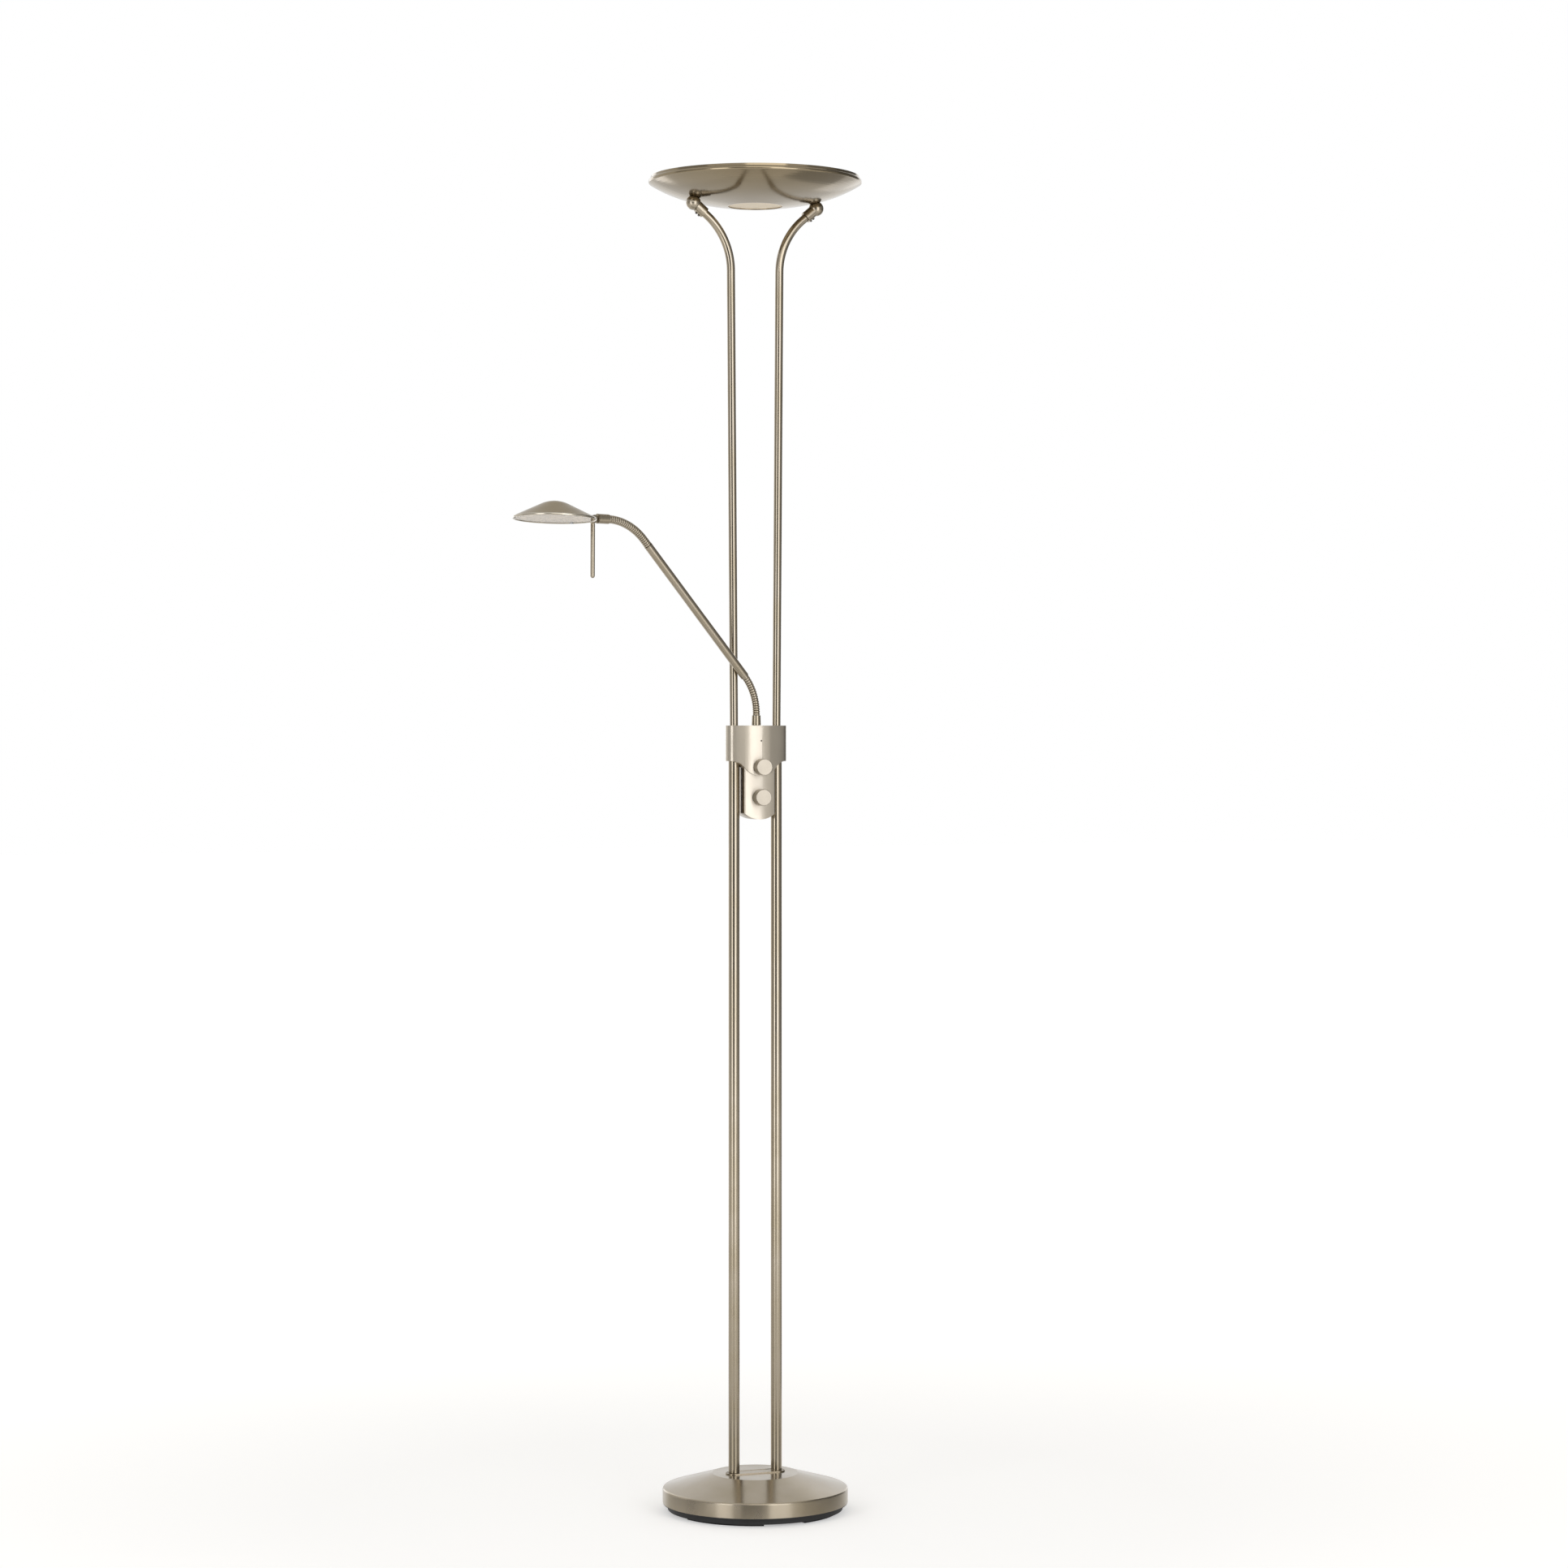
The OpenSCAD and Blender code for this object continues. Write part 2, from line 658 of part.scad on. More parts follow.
module heat_plate() {
  r = inner_r(heat_plate_z) - 0.2;
  color(steel) difference() {
    translate([0, 0, heat_plate_z]) cylinder(h = heat_plate_t, r = r);
    translate([0, 0, heat_plate_z - cut]) cylinder(h = heat_plate_t + 2 * cut, r = 30);
    for (s = [-1, 1]) translate([s * standoff_x, 0, heat_plate_z - cut])
      cylinder(h = heat_plate_t + 2 * cut, d = 3.2);
  }
}

// Hexagonal posts with a screw at each end.
module plate_standoffs() {
  z = boss_top + bracket_t;
  top = heat_plate_z + heat_plate_t + board_t;
  color(steel) for (s = [-1, 1]) translate([s * standoff_x, 0, 0]) {
    translate([0, 0, z]) linear_extrude(heat_plate_z - z) circle(d = standoff_d, $fn = 6);
    translate([0, 0, z - bracket_t]) cylinder(h = top - z + bracket_t, d = 3);
    translate([0, 0, top]) cylinder(h = 1.6, d = 5.6);
    translate([0, 0, z - bracket_t - 1.6]) cylinder(h = 1.6, d = 5.6);
  }
}

skirt_d = 2 * inner_r(heat_plate_z + heat_plate_t) - 8;
skirt_t = 2;
board_hole_d = 62;

// A ring-shaped board with rings of small emitters.
module bowl_led_board() {
  z = heat_plate_z + heat_plate_t;
  rows = [[46, 14], [70, 22], [94, 30], [118, 38]];
  color(white) {
    difference() {
      translate([0, 0, z]) tube(board_t, skirt_d - 2 * skirt_t - 2, board_hole_d);
      for (s = [-1, 1]) translate([s * standoff_x, 0, z - cut]) cylinder(h = board_t + 2 * cut, d = 3.2);
    }
    for (row = rows) for (k = [0:row[1] - 1]) rotate(360 * (k + 0.5) / row[1])
      translate([row[0] - 1.4, -1.75, z + board_t]) cube([2.8, 3.5, led_h]);
  }
}

module top_diffuser() {
  disc_d = 2 * inner_r(diffuser_z + diffuser_t) - 0.4;
  foot = heat_plate_z + heat_plate_t;
  color(white) {
    translate([0, 0, diffuser_z]) cylinder(h = diffuser_t, d = disc_d);
    translate([0, 0, foot]) tube(diffuser_z - foot, skirt_d, skirt_d - 2 * skirt_t);
  }
}

// ---------- control box ----------
box_end_z = box_top - box_end_h;
box_mid = -box_shift;
box_front = box_mid - box_bulge;
// Radius of the front that is tangent to both round ends.
box_r = (pole_x * pole_x + box_bulge * box_bulge - box_end_r * box_end_r) / (2 * (box_bulge - box_end_r));
box_turn = asin(pole_x / (box_r - box_end_r));
box_centre = box_r - box_bulge;        // distance from the housing's middle to the front's centre
box_low = box_end_z - shield_drop;
roof_t = 3;
pocket_w = block_w + 0.5;
upper_knob_z = box_top - upper_knob_drop;
lower_knob_z = upper_knob_z - knob_pitch;
bushing_hole_d = 8.2;
bushing_screw_z = box_top - 20.5;
bushing_screw_d = 2.2;
bushing_d = 10;
boss_x = 15;
boss_z = box_top - 18.8;
screw_boss_d = 7;

// Plan of the housing set back by t: two wide arcs between two round ends.
function box_outline(t) = concat(
  arc(0, box_mid + box_centre, box_r - t, 270 - box_turn, 270 + box_turn * 0.95, 19),
  arc(pole_x, box_mid, box_end_r - t, box_turn - 90, 90 - box_turn * 1.08, 16),
  arc(0, box_mid - box_centre, box_r - t, 90 - box_turn, 90 + box_turn * 0.95, 19),
  arc(-pole_x, box_mid, box_end_r - t, 90 + box_turn, 270 - box_turn * 1.08, 16));

// Lower edge of the shield: a round bottom that sweeps out to the level ends.
sweep_z = box_end_z - shield_sweep_r;
sweep_x = sqrt(pow(shield_r + shield_sweep_r, 2) - pow(box_low + shield_r - sweep_z, 2));
sweep_turn = asin(sweep_x / (shield_r + shield_sweep_r));
half_shield = concat(
  arc(0, box_low + shield_r, shield_r, 270, 270 + sweep_turn * 0.96, 12),
  arc(sweep_x, sweep_z, shield_sweep_r, 90 + sweep_turn, 90, 8));

module below_shield() {
  far = 2 * pole_x;
  left = [for (p = reversed(half_shield)) if (p[0] > 0) [-p[0], p[1]]];
  rotate([90, 0, 0]) translate([0, 0, -far]) linear_extrude(2 * far)
    polygon(concat(left, half_shield, [[far, box_end_z], [far, box_low - far], [-far, box_low - far], [-far, box_end_z]]));
}

module housing_blank() {
  difference() {
    translate([0, 0, box_low]) linear_extrude(box_top - box_low) polygon(box_outline(0));
    below_shield();
    intersection() {
      translate([0, 0, box_low - cut]) linear_extrude(box_top - box_low + cut - roof_t) polygon(box_outline(box_wall));
      translate([-pocket_w / 2, -2 * box_bulge, box_low - cut]) cube([pocket_w, 4 * box_bulge, 2 * (box_top - box_low)]);
    }
    at_poles() translate([0, 0, box_end_z - shield_drop])
      cylinder(h = joint_z + joiner_head + seat - box_end_z + shield_drop, d = lower_pole_d + 2 * slip_fit);
    for (s = [-1, 1]) on_side(s) pole_lean() cylinder(h = box_top, d = upper_pole_d + 2 * slip_fit);
    translate([0, -arm_y, box_top - 2 * roof_t]) cylinder(h = 3 * roof_t, d = bushing_d + 2 * slip_fit);
  }
}

// Rod along Y between two depths.
module y_rod(x, z, y0, y1, d) {
  translate([x, y0, z]) rotate([-90, 0, 0]) cylinder(h = y1 - y0, d = d);
}

module front_housing() {
  color(nickel) difference() {
    union() {
      intersection() {
        housing_blank();
        translate([-box_top, -box_top, 0]) cube([2 * box_top, box_top, 2 * box_top]);
      }
      intersection() {
        union() {
          for (s = [-1, 1]) y_rod(s * boss_x, boss_z, 2 * box_front, 0, screw_boss_d);
          y_rod(0, bushing_screw_z, 2 * box_front, -arm_y - bushing_d / 2 - 1, 6);
        }
        translate([0, 0, box_low]) linear_extrude(box_top - box_low) polygon(box_outline(0));
      }
    }
    for (s = [-1, 1]) y_rod(s * boss_x, boss_z, box_front + 8, cut, 3);
    y_rod(0, bushing_screw_z, box_front - cut, 0, bushing_screw_d);
    y_rod(0, upper_knob_z, box_front - cut, 0, bushing_hole_d);
  }
}

module rear_housing() {
  back = -box_front;
  color(nickel) difference() {
    union() {
      intersection() {
        housing_blank();
        translate([-box_top, 0, 0]) cube([2 * box_top, box_top, 2 * box_top]);
      }
      intersection() {
        for (s = [-1, 1]) y_rod(s * boss_x, boss_z, 0, back, screw_boss_d);
        translate([0, 0, box_low]) linear_extrude(box_top - box_low) polygon(box_outline(0));
      }
    }
    for (s = [-1, 1]) {
      y_rod(s * boss_x, boss_z, -cut, back, 3.2);
      y_rod(s * boss_x, boss_z, housing_screw_y, back, 6);
    }
  }
}

housing_screw_y = 13;                  // depth at which the housing screws' heads sit
block_flat = block_w / 2 - block_bevel;
// Inner face of the housing's front at a distance x from the middle.
function box_inner(x) = box_mid + box_centre - sqrt(pow(box_r - box_wall, 2) - x * x);
block_front = box_inner(block_flat) + 0.15;
block_back = 2 * box_mid - box_inner(block_w / 2) - 0.15;
block_top = box_end_z + 9;
block_centre = block_front + sqrt(pow(block_front_r, 2) - block_flat * block_flat);
block_nose = block_centre - block_front_r;
block_screw_x = block_w / 2 - 5.6;
block_screw_z = block_low + 17.5;

// Plan of the switch block set back by t, with its back at the given depth.
function block_outline(t, back) = let(
    a = asin((block_flat - 0.6 * t) / (block_front_r - t)),
    side = block_w / 2 - t,
    shoulder = block_front + block_bevel + 0.4 * t)
  concat(arc(0, block_centre, block_front_r - t, 270 - a, 270 + a, 14),
    [[side, shoulder], [side, back], [-side, back], [-side, shoulder]]);

module block_body(t, back) {
  wide = block_w / 2 + 1;
  a = asin(wide / (block_bottom_r - t));
  intersection() {
    translate([0, 0, block_low - 1]) linear_extrude(block_top - block_low + 1 - t) polygon(block_outline(t, back));
    rotate([90, 0, 0]) translate([0, 0, -block_w]) linear_extrude(2 * block_w)
      polygon(concat(arc(0, block_low + block_bottom_r, block_bottom_r - t, 270 - a, 270 + a, 20),
        [[wide, block_top], [-wide, block_top]]));
  }
}

module switch_block() {
  wall_end = block_back - box_wall;
  color(nickel) difference() {
    union() {
      difference() {
        block_body(0, wall_end);
        block_body(box_wall, block_back + cut);
      }
      intersection() {
        for (s = [-1, 1]) y_rod(s * block_screw_x, block_screw_z, 2 * block_front, wall_end, 6);
        block_body(0, wall_end);
      }
    }
    for (s = [-1, 1]) y_rod(s * block_screw_x, block_screw_z, block_front + 8, block_back, 3);
    for (z = [lower_knob_z, upper_knob_z]) y_rod(0, z, 2 * block_front, 0, bushing_hole_d);
    translate([12, 0, block_top - 2 * box_wall]) cylinder(h = 3 * box_wall, d = 7);
  }
}

module block_cover() {
  post = 5;
  color(nickel) difference() {
    union() {
      intersection() {
        block_body(0, block_back);
        translate([-block_w, block_back - box_wall, 0]) cube([2 * block_w, 2 * box_wall, box_top]);
      }
      for (x = [-14, 14], z = [board_z + 4, board_z + board_h - 4])
        y_rod(x, z, block_back - box_wall - post, block_back - box_wall + 0.5, 4);
    }
    for (s = [-1, 1]) y_rod(s * block_screw_x, block_screw_z, 0, 2 * block_back, 3.2);
  }
}

module housing_screws() {
  color(steel) {
    for (s = [-1, 1]) {
      y_rod(s * boss_x, boss_z, housing_screw_y, housing_screw_y + 2, 5.6);
      y_rod(s * boss_x, boss_z, box_front + 9, housing_screw_y, 2.9);
      y_rod(s * block_screw_x, block_screw_z, block_back, block_back + 1.6, 5.6);
      y_rod(s * block_screw_x, block_screw_z, block_front + 9, block_back, 2.9);
    }
  }
}

board_z = lower_knob_z + 4;
board_h = 46;
pcb_t = 1.6;
dimmer_w = 20;
dimmer_h = 18;
dimmer_t = 11;
dimmer_y = block_centre - sqrt(pow(block_front_r - box_wall, 2) - pow(dimmer_w / 2, 2)) + 0.1;
bushing_reach = 2.6;                   // how far a dimmer's bushing stands out of its panel
nut_t = 2;
knob_gap = 2 * air;

// Depth of the panel that each knob stands on.
upper_panel = box_front;
lower_panel = block_nose;

module dimmer(z, panel) {
  difference() {
    union() {
      translate([-dimmer_w / 2, dimmer_y, z - dimmer_h / 2]) cube([dimmer_w, dimmer_t, dimmer_h]);
      y_rod(0, z, panel - bushing_reach, dimmer_y, bushing_hole_d - 2 * slip_fit);
    }
    y_rod(0, z, panel - bushing_reach - cut, dimmer_y + dimmer_t - 2, shaft_d + 2 * run_fit);
  }
}

module dimmers() {
  color(steel) {
    dimmer(upper_knob_z, upper_panel);
    dimmer(lower_knob_z, lower_panel);
  }
}

module dimmer_nut(z, panel) {
  translate([0, panel - seat, z]) rotate([90, 0, 0]) linear_extrude(nut_t) difference() {
    circle(d = 11 / cos(30), $fn = 6);
    circle(d = bushing_hole_d);
  }
}

module dimmer_nuts() {
  color(steel) {
    dimmer_nut(upper_knob_z, upper_panel);
    dimmer_nut(lower_knob_z, lower_panel);
  }
}

// The supply board with its transformer, capacitors and terminal block.
module driver_board() {
  y = block_back - box_wall - 5 - pcb_t;
  color([0.1, 0.35, 0.2]) {
    translate([-17, y, board_z]) cube([34, pcb_t, board_h]);
    translate([-14, y - 8, board_z + 12]) cube([14, 8, 14]);
    for (z = [board_z + 8, board_z + 22]) y_rod(9, z, y - 7, y, 8);
    translate([-10, y - 6, board_z + 36]) cube([16, 6, 7]);
  }
}

module knob(z, panel) {
  face = panel - knob_gap - knob_len;
  edge = 0.6;
  recess = 3;
  front = 2.5;
  difference() {
    translate([0, panel - knob_gap, z]) rotate([90, 0, 0]) {
      cylinder(h = knob_len - edge, d = knob_d);
      translate([0, 0, knob_len - edge]) cylinder(h = edge, d1 = knob_d, d2 = knob_d - 2 * edge);
    }
    y_rod(0, z, panel - knob_gap - recess, panel, 14);
    y_rod(0, z, face + front, panel, shaft_d + 2 * slip_fit);
  }
}

module knob_shaft(z, panel) {
  y_rod(0, z, panel - knob_gap - knob_len + 3, dimmer_y + dimmer_t - 3, shaft_d);
}

module upper_knob() {
  color(nickel) knob(upper_knob_z, upper_panel);
}

module lower_knob() {
  color(nickel) knob(lower_knob_z, lower_panel);
}

module upper_shaft() {
  color(steel) knob_shaft(upper_knob_z, upper_panel);
}

module lower_shaft() {
  color(steel) knob_shaft(lower_knob_z, lower_panel);
}

// ---------- reading arm ----------
spigot_d = 7;
wire_d = 4;
collar_foot_d = 12.6;
collar_head_d = 11.6;

module swivel_bushing() {
  flange_d = 16;
  color(steel) translate([0, -arm_y, 0]) difference() {
    union() {
      translate([0, 0, box_top - 26]) cylinder(h = 26 + seat, d = bushing_d);
      translate([0, 0, box_top - roof_t - seat - 2]) cylinder(h = 2, d = flange_d);
      translate([0, 0, box_top]) cylinder(h = collar_h - 2, d = spigot_d);
    }
    translate([0, 0, box_top - 30]) cylinder(h = 60, d = wire_d);
  }
}

module arm_collar() {
  color(nickel) translate([0, -arm_y, box_top]) difference() {
    translate([0, 0, air]) cylinder(h = collar_h - air, d1 = collar_foot_d, d2 = collar_head_d);
    translate([0, 0, -cut]) cylinder(h = collar_h + cut - 1.7, d = spigot_d + 2 * run_fit);
    cylinder(h = collar_h + cut, d = wire_d);
  }
}

// Frame at the top of the collar: +Z up, +X the way the arm points.
module arm_frame() {
  translate([0, -arm_y, box_top + collar_h]) rotate([0, 0, 180 + arm_turn]) children();
}

// A gooseneck is a chain of short curved links, each with a ball at its foot that sits in
// the cup of the link below. Rings cover the links and leave a groove over each ball.
rim = 1;                               // reach of a cup past the centre of its ball
link_rings = 5;                        // rings on each link
lower_links = 3;
upper_links = 4;
lower_foot = 2.7;                      // straight length at the foot of the lower gooseneck
upper_foot = 9.6;                      // straight length at the foot of the upper gooseneck
tube_bore = tube_d - 2 * tube_wall;
plug_len = 8;

// Ring diameter, pitch, groove, number of links, total bend, straight foot.
lower_neck = [lower_ring_d, lower_pitch, lower_groove, lower_links, tube_lean, lower_foot];
upper_neck = [upper_ring_d, upper_pitch, upper_groove, upper_links, 90 - neck_rise - tube_lean, upper_foot];
function core_d(f) = f[0] - 2.4;
function cup_d(f) = core_d(f) - 1.3;
function neck_stem_d(f) = 0.52 * core_d(f);
function core_bore(f) = neck_stem_d(f) - 0.8;
function stem_bore(f) = neck_stem_d(f) - 2;
function link_len(f) = link_rings * f[1];
function flex_r(f) = f[3] * link_len(f) * 180 / (PI * f[4]);
function degrees(f, s) = s / flex_r(f) * 180 / PI;

module flex_at(f, s) {
  translate([0, 0, f[5]]) after_arc(flex_r(f), degrees(f, s)) children();
}

module ring(f) {
  w = f[1] - f[2];
  inner = core_d(f) / 2 + 0.03;
  rotate_extrude() intersection() {
    translate([f[0] / 2 - w / 2, 0]) circle(d = w);
    translate([inner, -w]) square([w, 2 * w]);
  }
}

module flex_ball(f) {
  neck_top = rim + f[2] + 1;
  r = cup_d(f) / 2 - run_fit;
  bore = stem_bore(f) / 2;
  rotate_extrude() difference() {
    union() {
      intersection() {
        circle(r = r);
        translate([0, -r]) square([r, 2 * r]);
      }
      square([neck_stem_d(f) / 2, neck_top]);
    }
    translate([0, -2 * r]) square([bore, 4 * r]);
  }
}

// Link k of gooseneck f, counted from its foot.
module flex_link(f, k) {
  last = k == f[3];
  s0 = (k - 1) * link_len(f);
  start = k == 1 ? 0 : rim + f[2];
  end = link_len(f) + rim;
  difference() {
    union() {
      flex_at(f, s0 + start) arc_tube(flex_r(f), degrees(f, end - start), core_d(f), core_bore(f));
      if (k == 1) tube(f[5], core_d(f), core_bore(f));
      if (k > 1) flex_at(f, s0) flex_ball(f);
    }
    if (!last) flex_at(f, s0 + link_len(f)) sphere(d = cup_d(f));
  }
  for (i = [0:link_rings - 1])
    flex_at(f, s0 + rim + f[2] + i * f[1] + (f[1] - f[2]) / 2) ring(f);
}

// Rings on the straight foot of a gooseneck.
module foot_rings(f, n) {
  for (i = [0:n - 1]) translate([0, 0, rim + f[2] + i * f[1] + (f[1] - f[2]) / 2]) ring(f);
}

module plug(f, bore, h) {
  translate([0, 0, h < 0 ? h : 0]) tube(abs(h), bore - 2 * slip_fit, core_bore(f));
}

module lower_flex_1() {
  color(nickel) arm_frame() {
    flex_link(lower_neck, 1);
    tube(lower_foot + rim - 0.4, lower_ring_d, core_d(lower_neck) + 0.06);
  }
}

module lower_flex_2() {
  color(nickel) arm_frame() flex_link(lower_neck, 2);
}

module at_tube() {
  arm_frame() flex_at(lower_neck, lower_links * link_len(lower_neck) + rim) children();
}

module lower_flex_3() {
  color(nickel) {
    arm_frame() flex_link(lower_neck, 3);
    at_tube() plug(lower_neck, tube_bore, plug_len);
  }
}

module arm_tube() {
  color(nickel) at_tube() tube(tube_len, tube_d, tube_bore);
}

module upper_frame() {
  at_tube() translate([0, 0, tube_len]) children();
}

module upper_flex_1() {
  color(nickel) upper_frame() {
    flex_link(upper_neck, 1);
    foot_rings(upper_neck, 3);
    plug(upper_neck, tube_bore, -plug_len);
  }
}

module upper_flex_2() {
  color(nickel) upper_frame() flex_link(upper_neck, 2);
}

module upper_flex_3() {
  color(nickel) upper_frame() flex_link(upper_neck, 3);
}

module at_neck() {
  upper_frame() flex_at(upper_neck, upper_links * link_len(upper_neck) + rim) children();
}

neck_socket = 6;                       // length of the neck that takes the gooseneck's plug
neck_wall = 1;
swivel_d = 9;

module upper_flex_4() {
  color(nickel) {
    upper_frame() flex_link(upper_neck, 4);
    at_neck() plug(upper_neck, neck_d - 2 * neck_wall, neck_socket);
  }
}

module neck_tube() {
  color(nickel) at_neck() difference() {
    cylinder(h = neck_len, d = neck_d);
    translate([0, 0, -cut]) cylinder(h = neck_socket + cut + seat, d = neck_d - 2 * neck_wall);
    cylinder(h = neck_len + cut, d = swivel_d);
  }
}

// ---------- reading head ----------
pin_reach = 7;                         // distance from the neck's end to the tilt pin
tongue_t = 4;
tongue_r = 3.3;
tilt_pin_d = 3;
fork_ear_t = 2.4;
fork_r = 4.5;
fork_gap = tongue_t / 2 + run_fit;
fork_w = 2 * (fork_gap + fork_ear_t);
boss_z0 = -5.5;                        // top and bottom of the handle's boss
boss_z1 = -7.4;
plate_len = 17;
flank_t = 1.5;
rivet_d = 3;
rivet_head_t = 0.45;
rivet_x = [7.5, 12.5];                // places of the rivets up the dome's flank

// Frame at the tilt pin: +X ahead along the neck, +Z up, rolled with the head.
module swivel_frame() {
  at_neck() translate([0, 0, neck_len + pin_reach]) rotate([0, -90, 0]) rotate([head_roll, 0, 0]) children();
}

module head_frame() {
  swivel_frame() rotate([0, -head_pitch, 0]) children();
}

module rim_frame() {
  head_frame() translate([head_reach, 0, -head_sag]) children();
}

module across(y0, y1, d) {
  translate([0, y0, 0]) rotate([-90, 0, 0]) cylinder(h = y1 - y0, d = d);
}

module neck_swivel() {
  stem = neck_len - neck_socket - 2;
  flange_t = 0.8;
  color(nickel) swivel_frame() difference() {
    union() {
      translate([-pin_reach - stem, 0, 0]) along_x() cylinder(h = stem + 1, d = swivel_d - 2 * run_fit);
      translate([-pin_reach + seat, 0, 0]) along_x() cylinder(h = flange_t, d = neck_d - 1.4);
      translate([-pin_reach, -tongue_t / 2, -tongue_r]) cube([pin_reach, tongue_t, 2 * tongue_r]);
      across(-tongue_t / 2, tongue_t / 2, 2 * tongue_r);
    }
    across(-tongue_t, tongue_t, tilt_pin_d + 2 * run_fit);
  }
}

head_edge = head_d / 2 - 1.5;          // radius where the flank meets the rounded rim
head_edge_z = 2.8;
dome_r = (head_edge_z - head_h + head_edge * tan(head_slope)) / (1 / cos(head_slope) - 1);
flank_x = head_reach - head_edge;      // where the flank begins, ahead of the tilt pin
flank_z = head_edge_z - head_sag;
lens_z = 0.4;
lens_t = 1.5;
reflector_z = lens_z + lens_t + seat;
reflector_t = 0.5;
dish_r = 0.418 * head_d;
dish_h = 10;
led_opening_r = 18;

// Inner radius of the dome at a height above its rim.
function head_inner(z) = head_edge - (z + head_wall / cos(head_slope) - head_edge_z) / tan(head_slope);

// Frame on the dome's rear flank: +X up the slope, +Z away from the dome.
module flank_frame() {
  head_frame() translate([flank_x, 0, flank_z]) rotate([0, -head_slope, 0]) children();
}

module rivets(d, z0, z1) {
  for (x = rivet_x) translate([x, 0, z0]) cylinder(h = z1 - z0, d = d);
}

module head_fork() {
  color(nickel) {
    difference() {
      union() {
        head_frame() {
          for (s = [-1, 1]) difference() {
            union() {
              across(s > 0 ? fork_gap : -fork_w / 2, s > 0 ? fork_w / 2 : -fork_gap, 2 * fork_r);
              translate([-2.4, s > 0 ? fork_gap : -fork_w / 2, boss_z0]) cube([4.8, fork_ear_t, -boss_z0]);
              translate([0, s > 0 ? fork_gap : -fork_w / 2, -2.4]) cube([7.4, fork_ear_t, 4.4]);
            }
          }
          translate([fork_r - 0.4, -fork_w / 2, -2.4]) cube([3.3, fork_w, 4.4]);
          across(-fork_w / 2 - 0.6, fork_w / 2 + 0.6, tilt_pin_d);
          rotate([handle_lean, 0, 0]) translate([0, 0, boss_z1]) difference() {
            cylinder(h = boss_z0 - boss_z1 + 0.4, d1 = handle_d - 1, d2 = fork_w - 1.4);
            translate([0, 0, -cut]) cylinder(h = 2, d = 3);
          }
        }
        flank_frame() {
          translate([-2, -fork_w / 2, 0.05]) cube([plate_len, fork_w, flank_t]);
          rivets(rivet_d, -head_wall - 0.3, flank_t);
        }
      }
    }
    flank_frame() rivets(rivet_d + 1.6, -head_wall - 0.25 - rivet_head_t, -head_wall - 0.25);
  }
}

module head_shell() {
  outer = concat(arc(0, head_h - dome_r, dome_r, 90, 90 - head_slope, 12),
    [[head_edge, head_edge_z], [head_edge + 1.1, 2.1], [head_edge + 1.5, 1.1], [head_edge + 1.3, 0.3], [head_edge + 0.7, 0]]);
  inner = concat(arc(0, head_h - dome_r, dome_r - head_wall, 90, 90 - head_slope, 12),
    [[head_inner(1.7), 1.7], [head_edge + 0.2, 1], [head_edge + 0.2, 0]]);
  color(nickel) difference() {
    rim_frame() rotate_extrude() polygon(concat(outer, reversed(inner)));
    flank_frame() rivets(rivet_d + 0.1, -3 * head_wall, flank_t);
  }
}

// A shallow dish that opens downwards, with a hole for the light board.
module head_reflector() {
  function dish_z(r) = reflector_z + dish_h * (1 - pow(r / dish_r, 2));
  steps = 12;
  radii = [for (i = [0:steps]) dish_r + (led_opening_r - dish_r) * i / steps];
  under = concat([[head_inner(reflector_z + reflector_t) - 0.2, reflector_z]], [for (r = radii) [r, dish_z(r)]]);
  over = [for (p = under) [p[0], p[1] + reflector_t]];
  color(chrome) rim_frame() rotate_extrude() polygon(concat(under, reversed(over)));
}

module head_led_board() {
  z = reflector_z + dish_h * (1 - pow(led_opening_r / dish_r, 2)) + reflector_t + seat;
  color(white) rim_frame() {
    translate([0, 0, z]) cylinder(h = board_t, r = led_opening_r + 1.5);
    for (k = [0:5]) rotate(60 * k) translate([9.5, -2.5, z - led_h]) cube([5, 5, led_h]);
    translate([-2.5, -2.5, z - led_h]) cube([5, 5, led_h]);
  }
}

module head_lens() {
  color([0.9, 0.95, 0.95]) rim_frame() translate([0, 0, lens_z])
    cylinder(h = lens_t, r = head_inner(lens_z + lens_t) - 0.2);
}

// Three small tabs that hold the lens up against the rim.
module lens_clips() {
  reach = 3;
  clip_w = 4;
  color(steel) rim_frame() for (a = [90, 210, 330]) rotate(a)
    translate([head_edge + 0.1 - reach, -clip_w / 2, -0.5]) cube([reach, clip_w, lens_z + 0.5 - 0.05]);
}

module handle_rod() {
  r = handle_d / 2;
  profile = concat([[0, 0], [r, 0]], arc(0, r - handle_len, r, 0, -90, 8));
  color(nickel) head_frame() rotate([handle_lean, 0, 0]) translate([0, 0, boss_z1 - seat]) {
    rotate_extrude() polygon(profile);
    cylinder(h = 1, d = 3 - 2 * slip_fit);
  }
}

base_cover();
base_weight();
base_underside();
base_feet();
pole_plate();
base_nipples();
nipple_nuts();
underside_screws();
cord_grommet();
lower_pole_left();
lower_pole_right();
pole_joiners();
upper_pole_left();
upper_pole_right();
bent_arm_left();
bent_arm_right();
knuckle_left();
knuckle_right();
ball_caps();
grub_screws();
front_housing();
rear_housing();
housing_screws();
switch_block();
block_cover();
dimmers();
dimmer_nuts();
driver_board();
swivel_bushing();
pivot_ears();
cross_bracket();
bowl_shell();
bottom_glass();
glass_retainer();
heat_plate();
plate_standoffs();
bowl_led_board();
top_diffuser();
upper_knob();
upper_shaft();
lower_knob();
lower_shaft();
arm_collar();
lower_flex_1();
lower_flex_2();
lower_flex_3();
arm_tube();
upper_flex_1();
upper_flex_2();
upper_flex_3();
upper_flex_4();
neck_tube();
neck_swivel();
head_fork();
head_shell();
head_reflector();
head_led_board();
head_lens();
lens_clips();
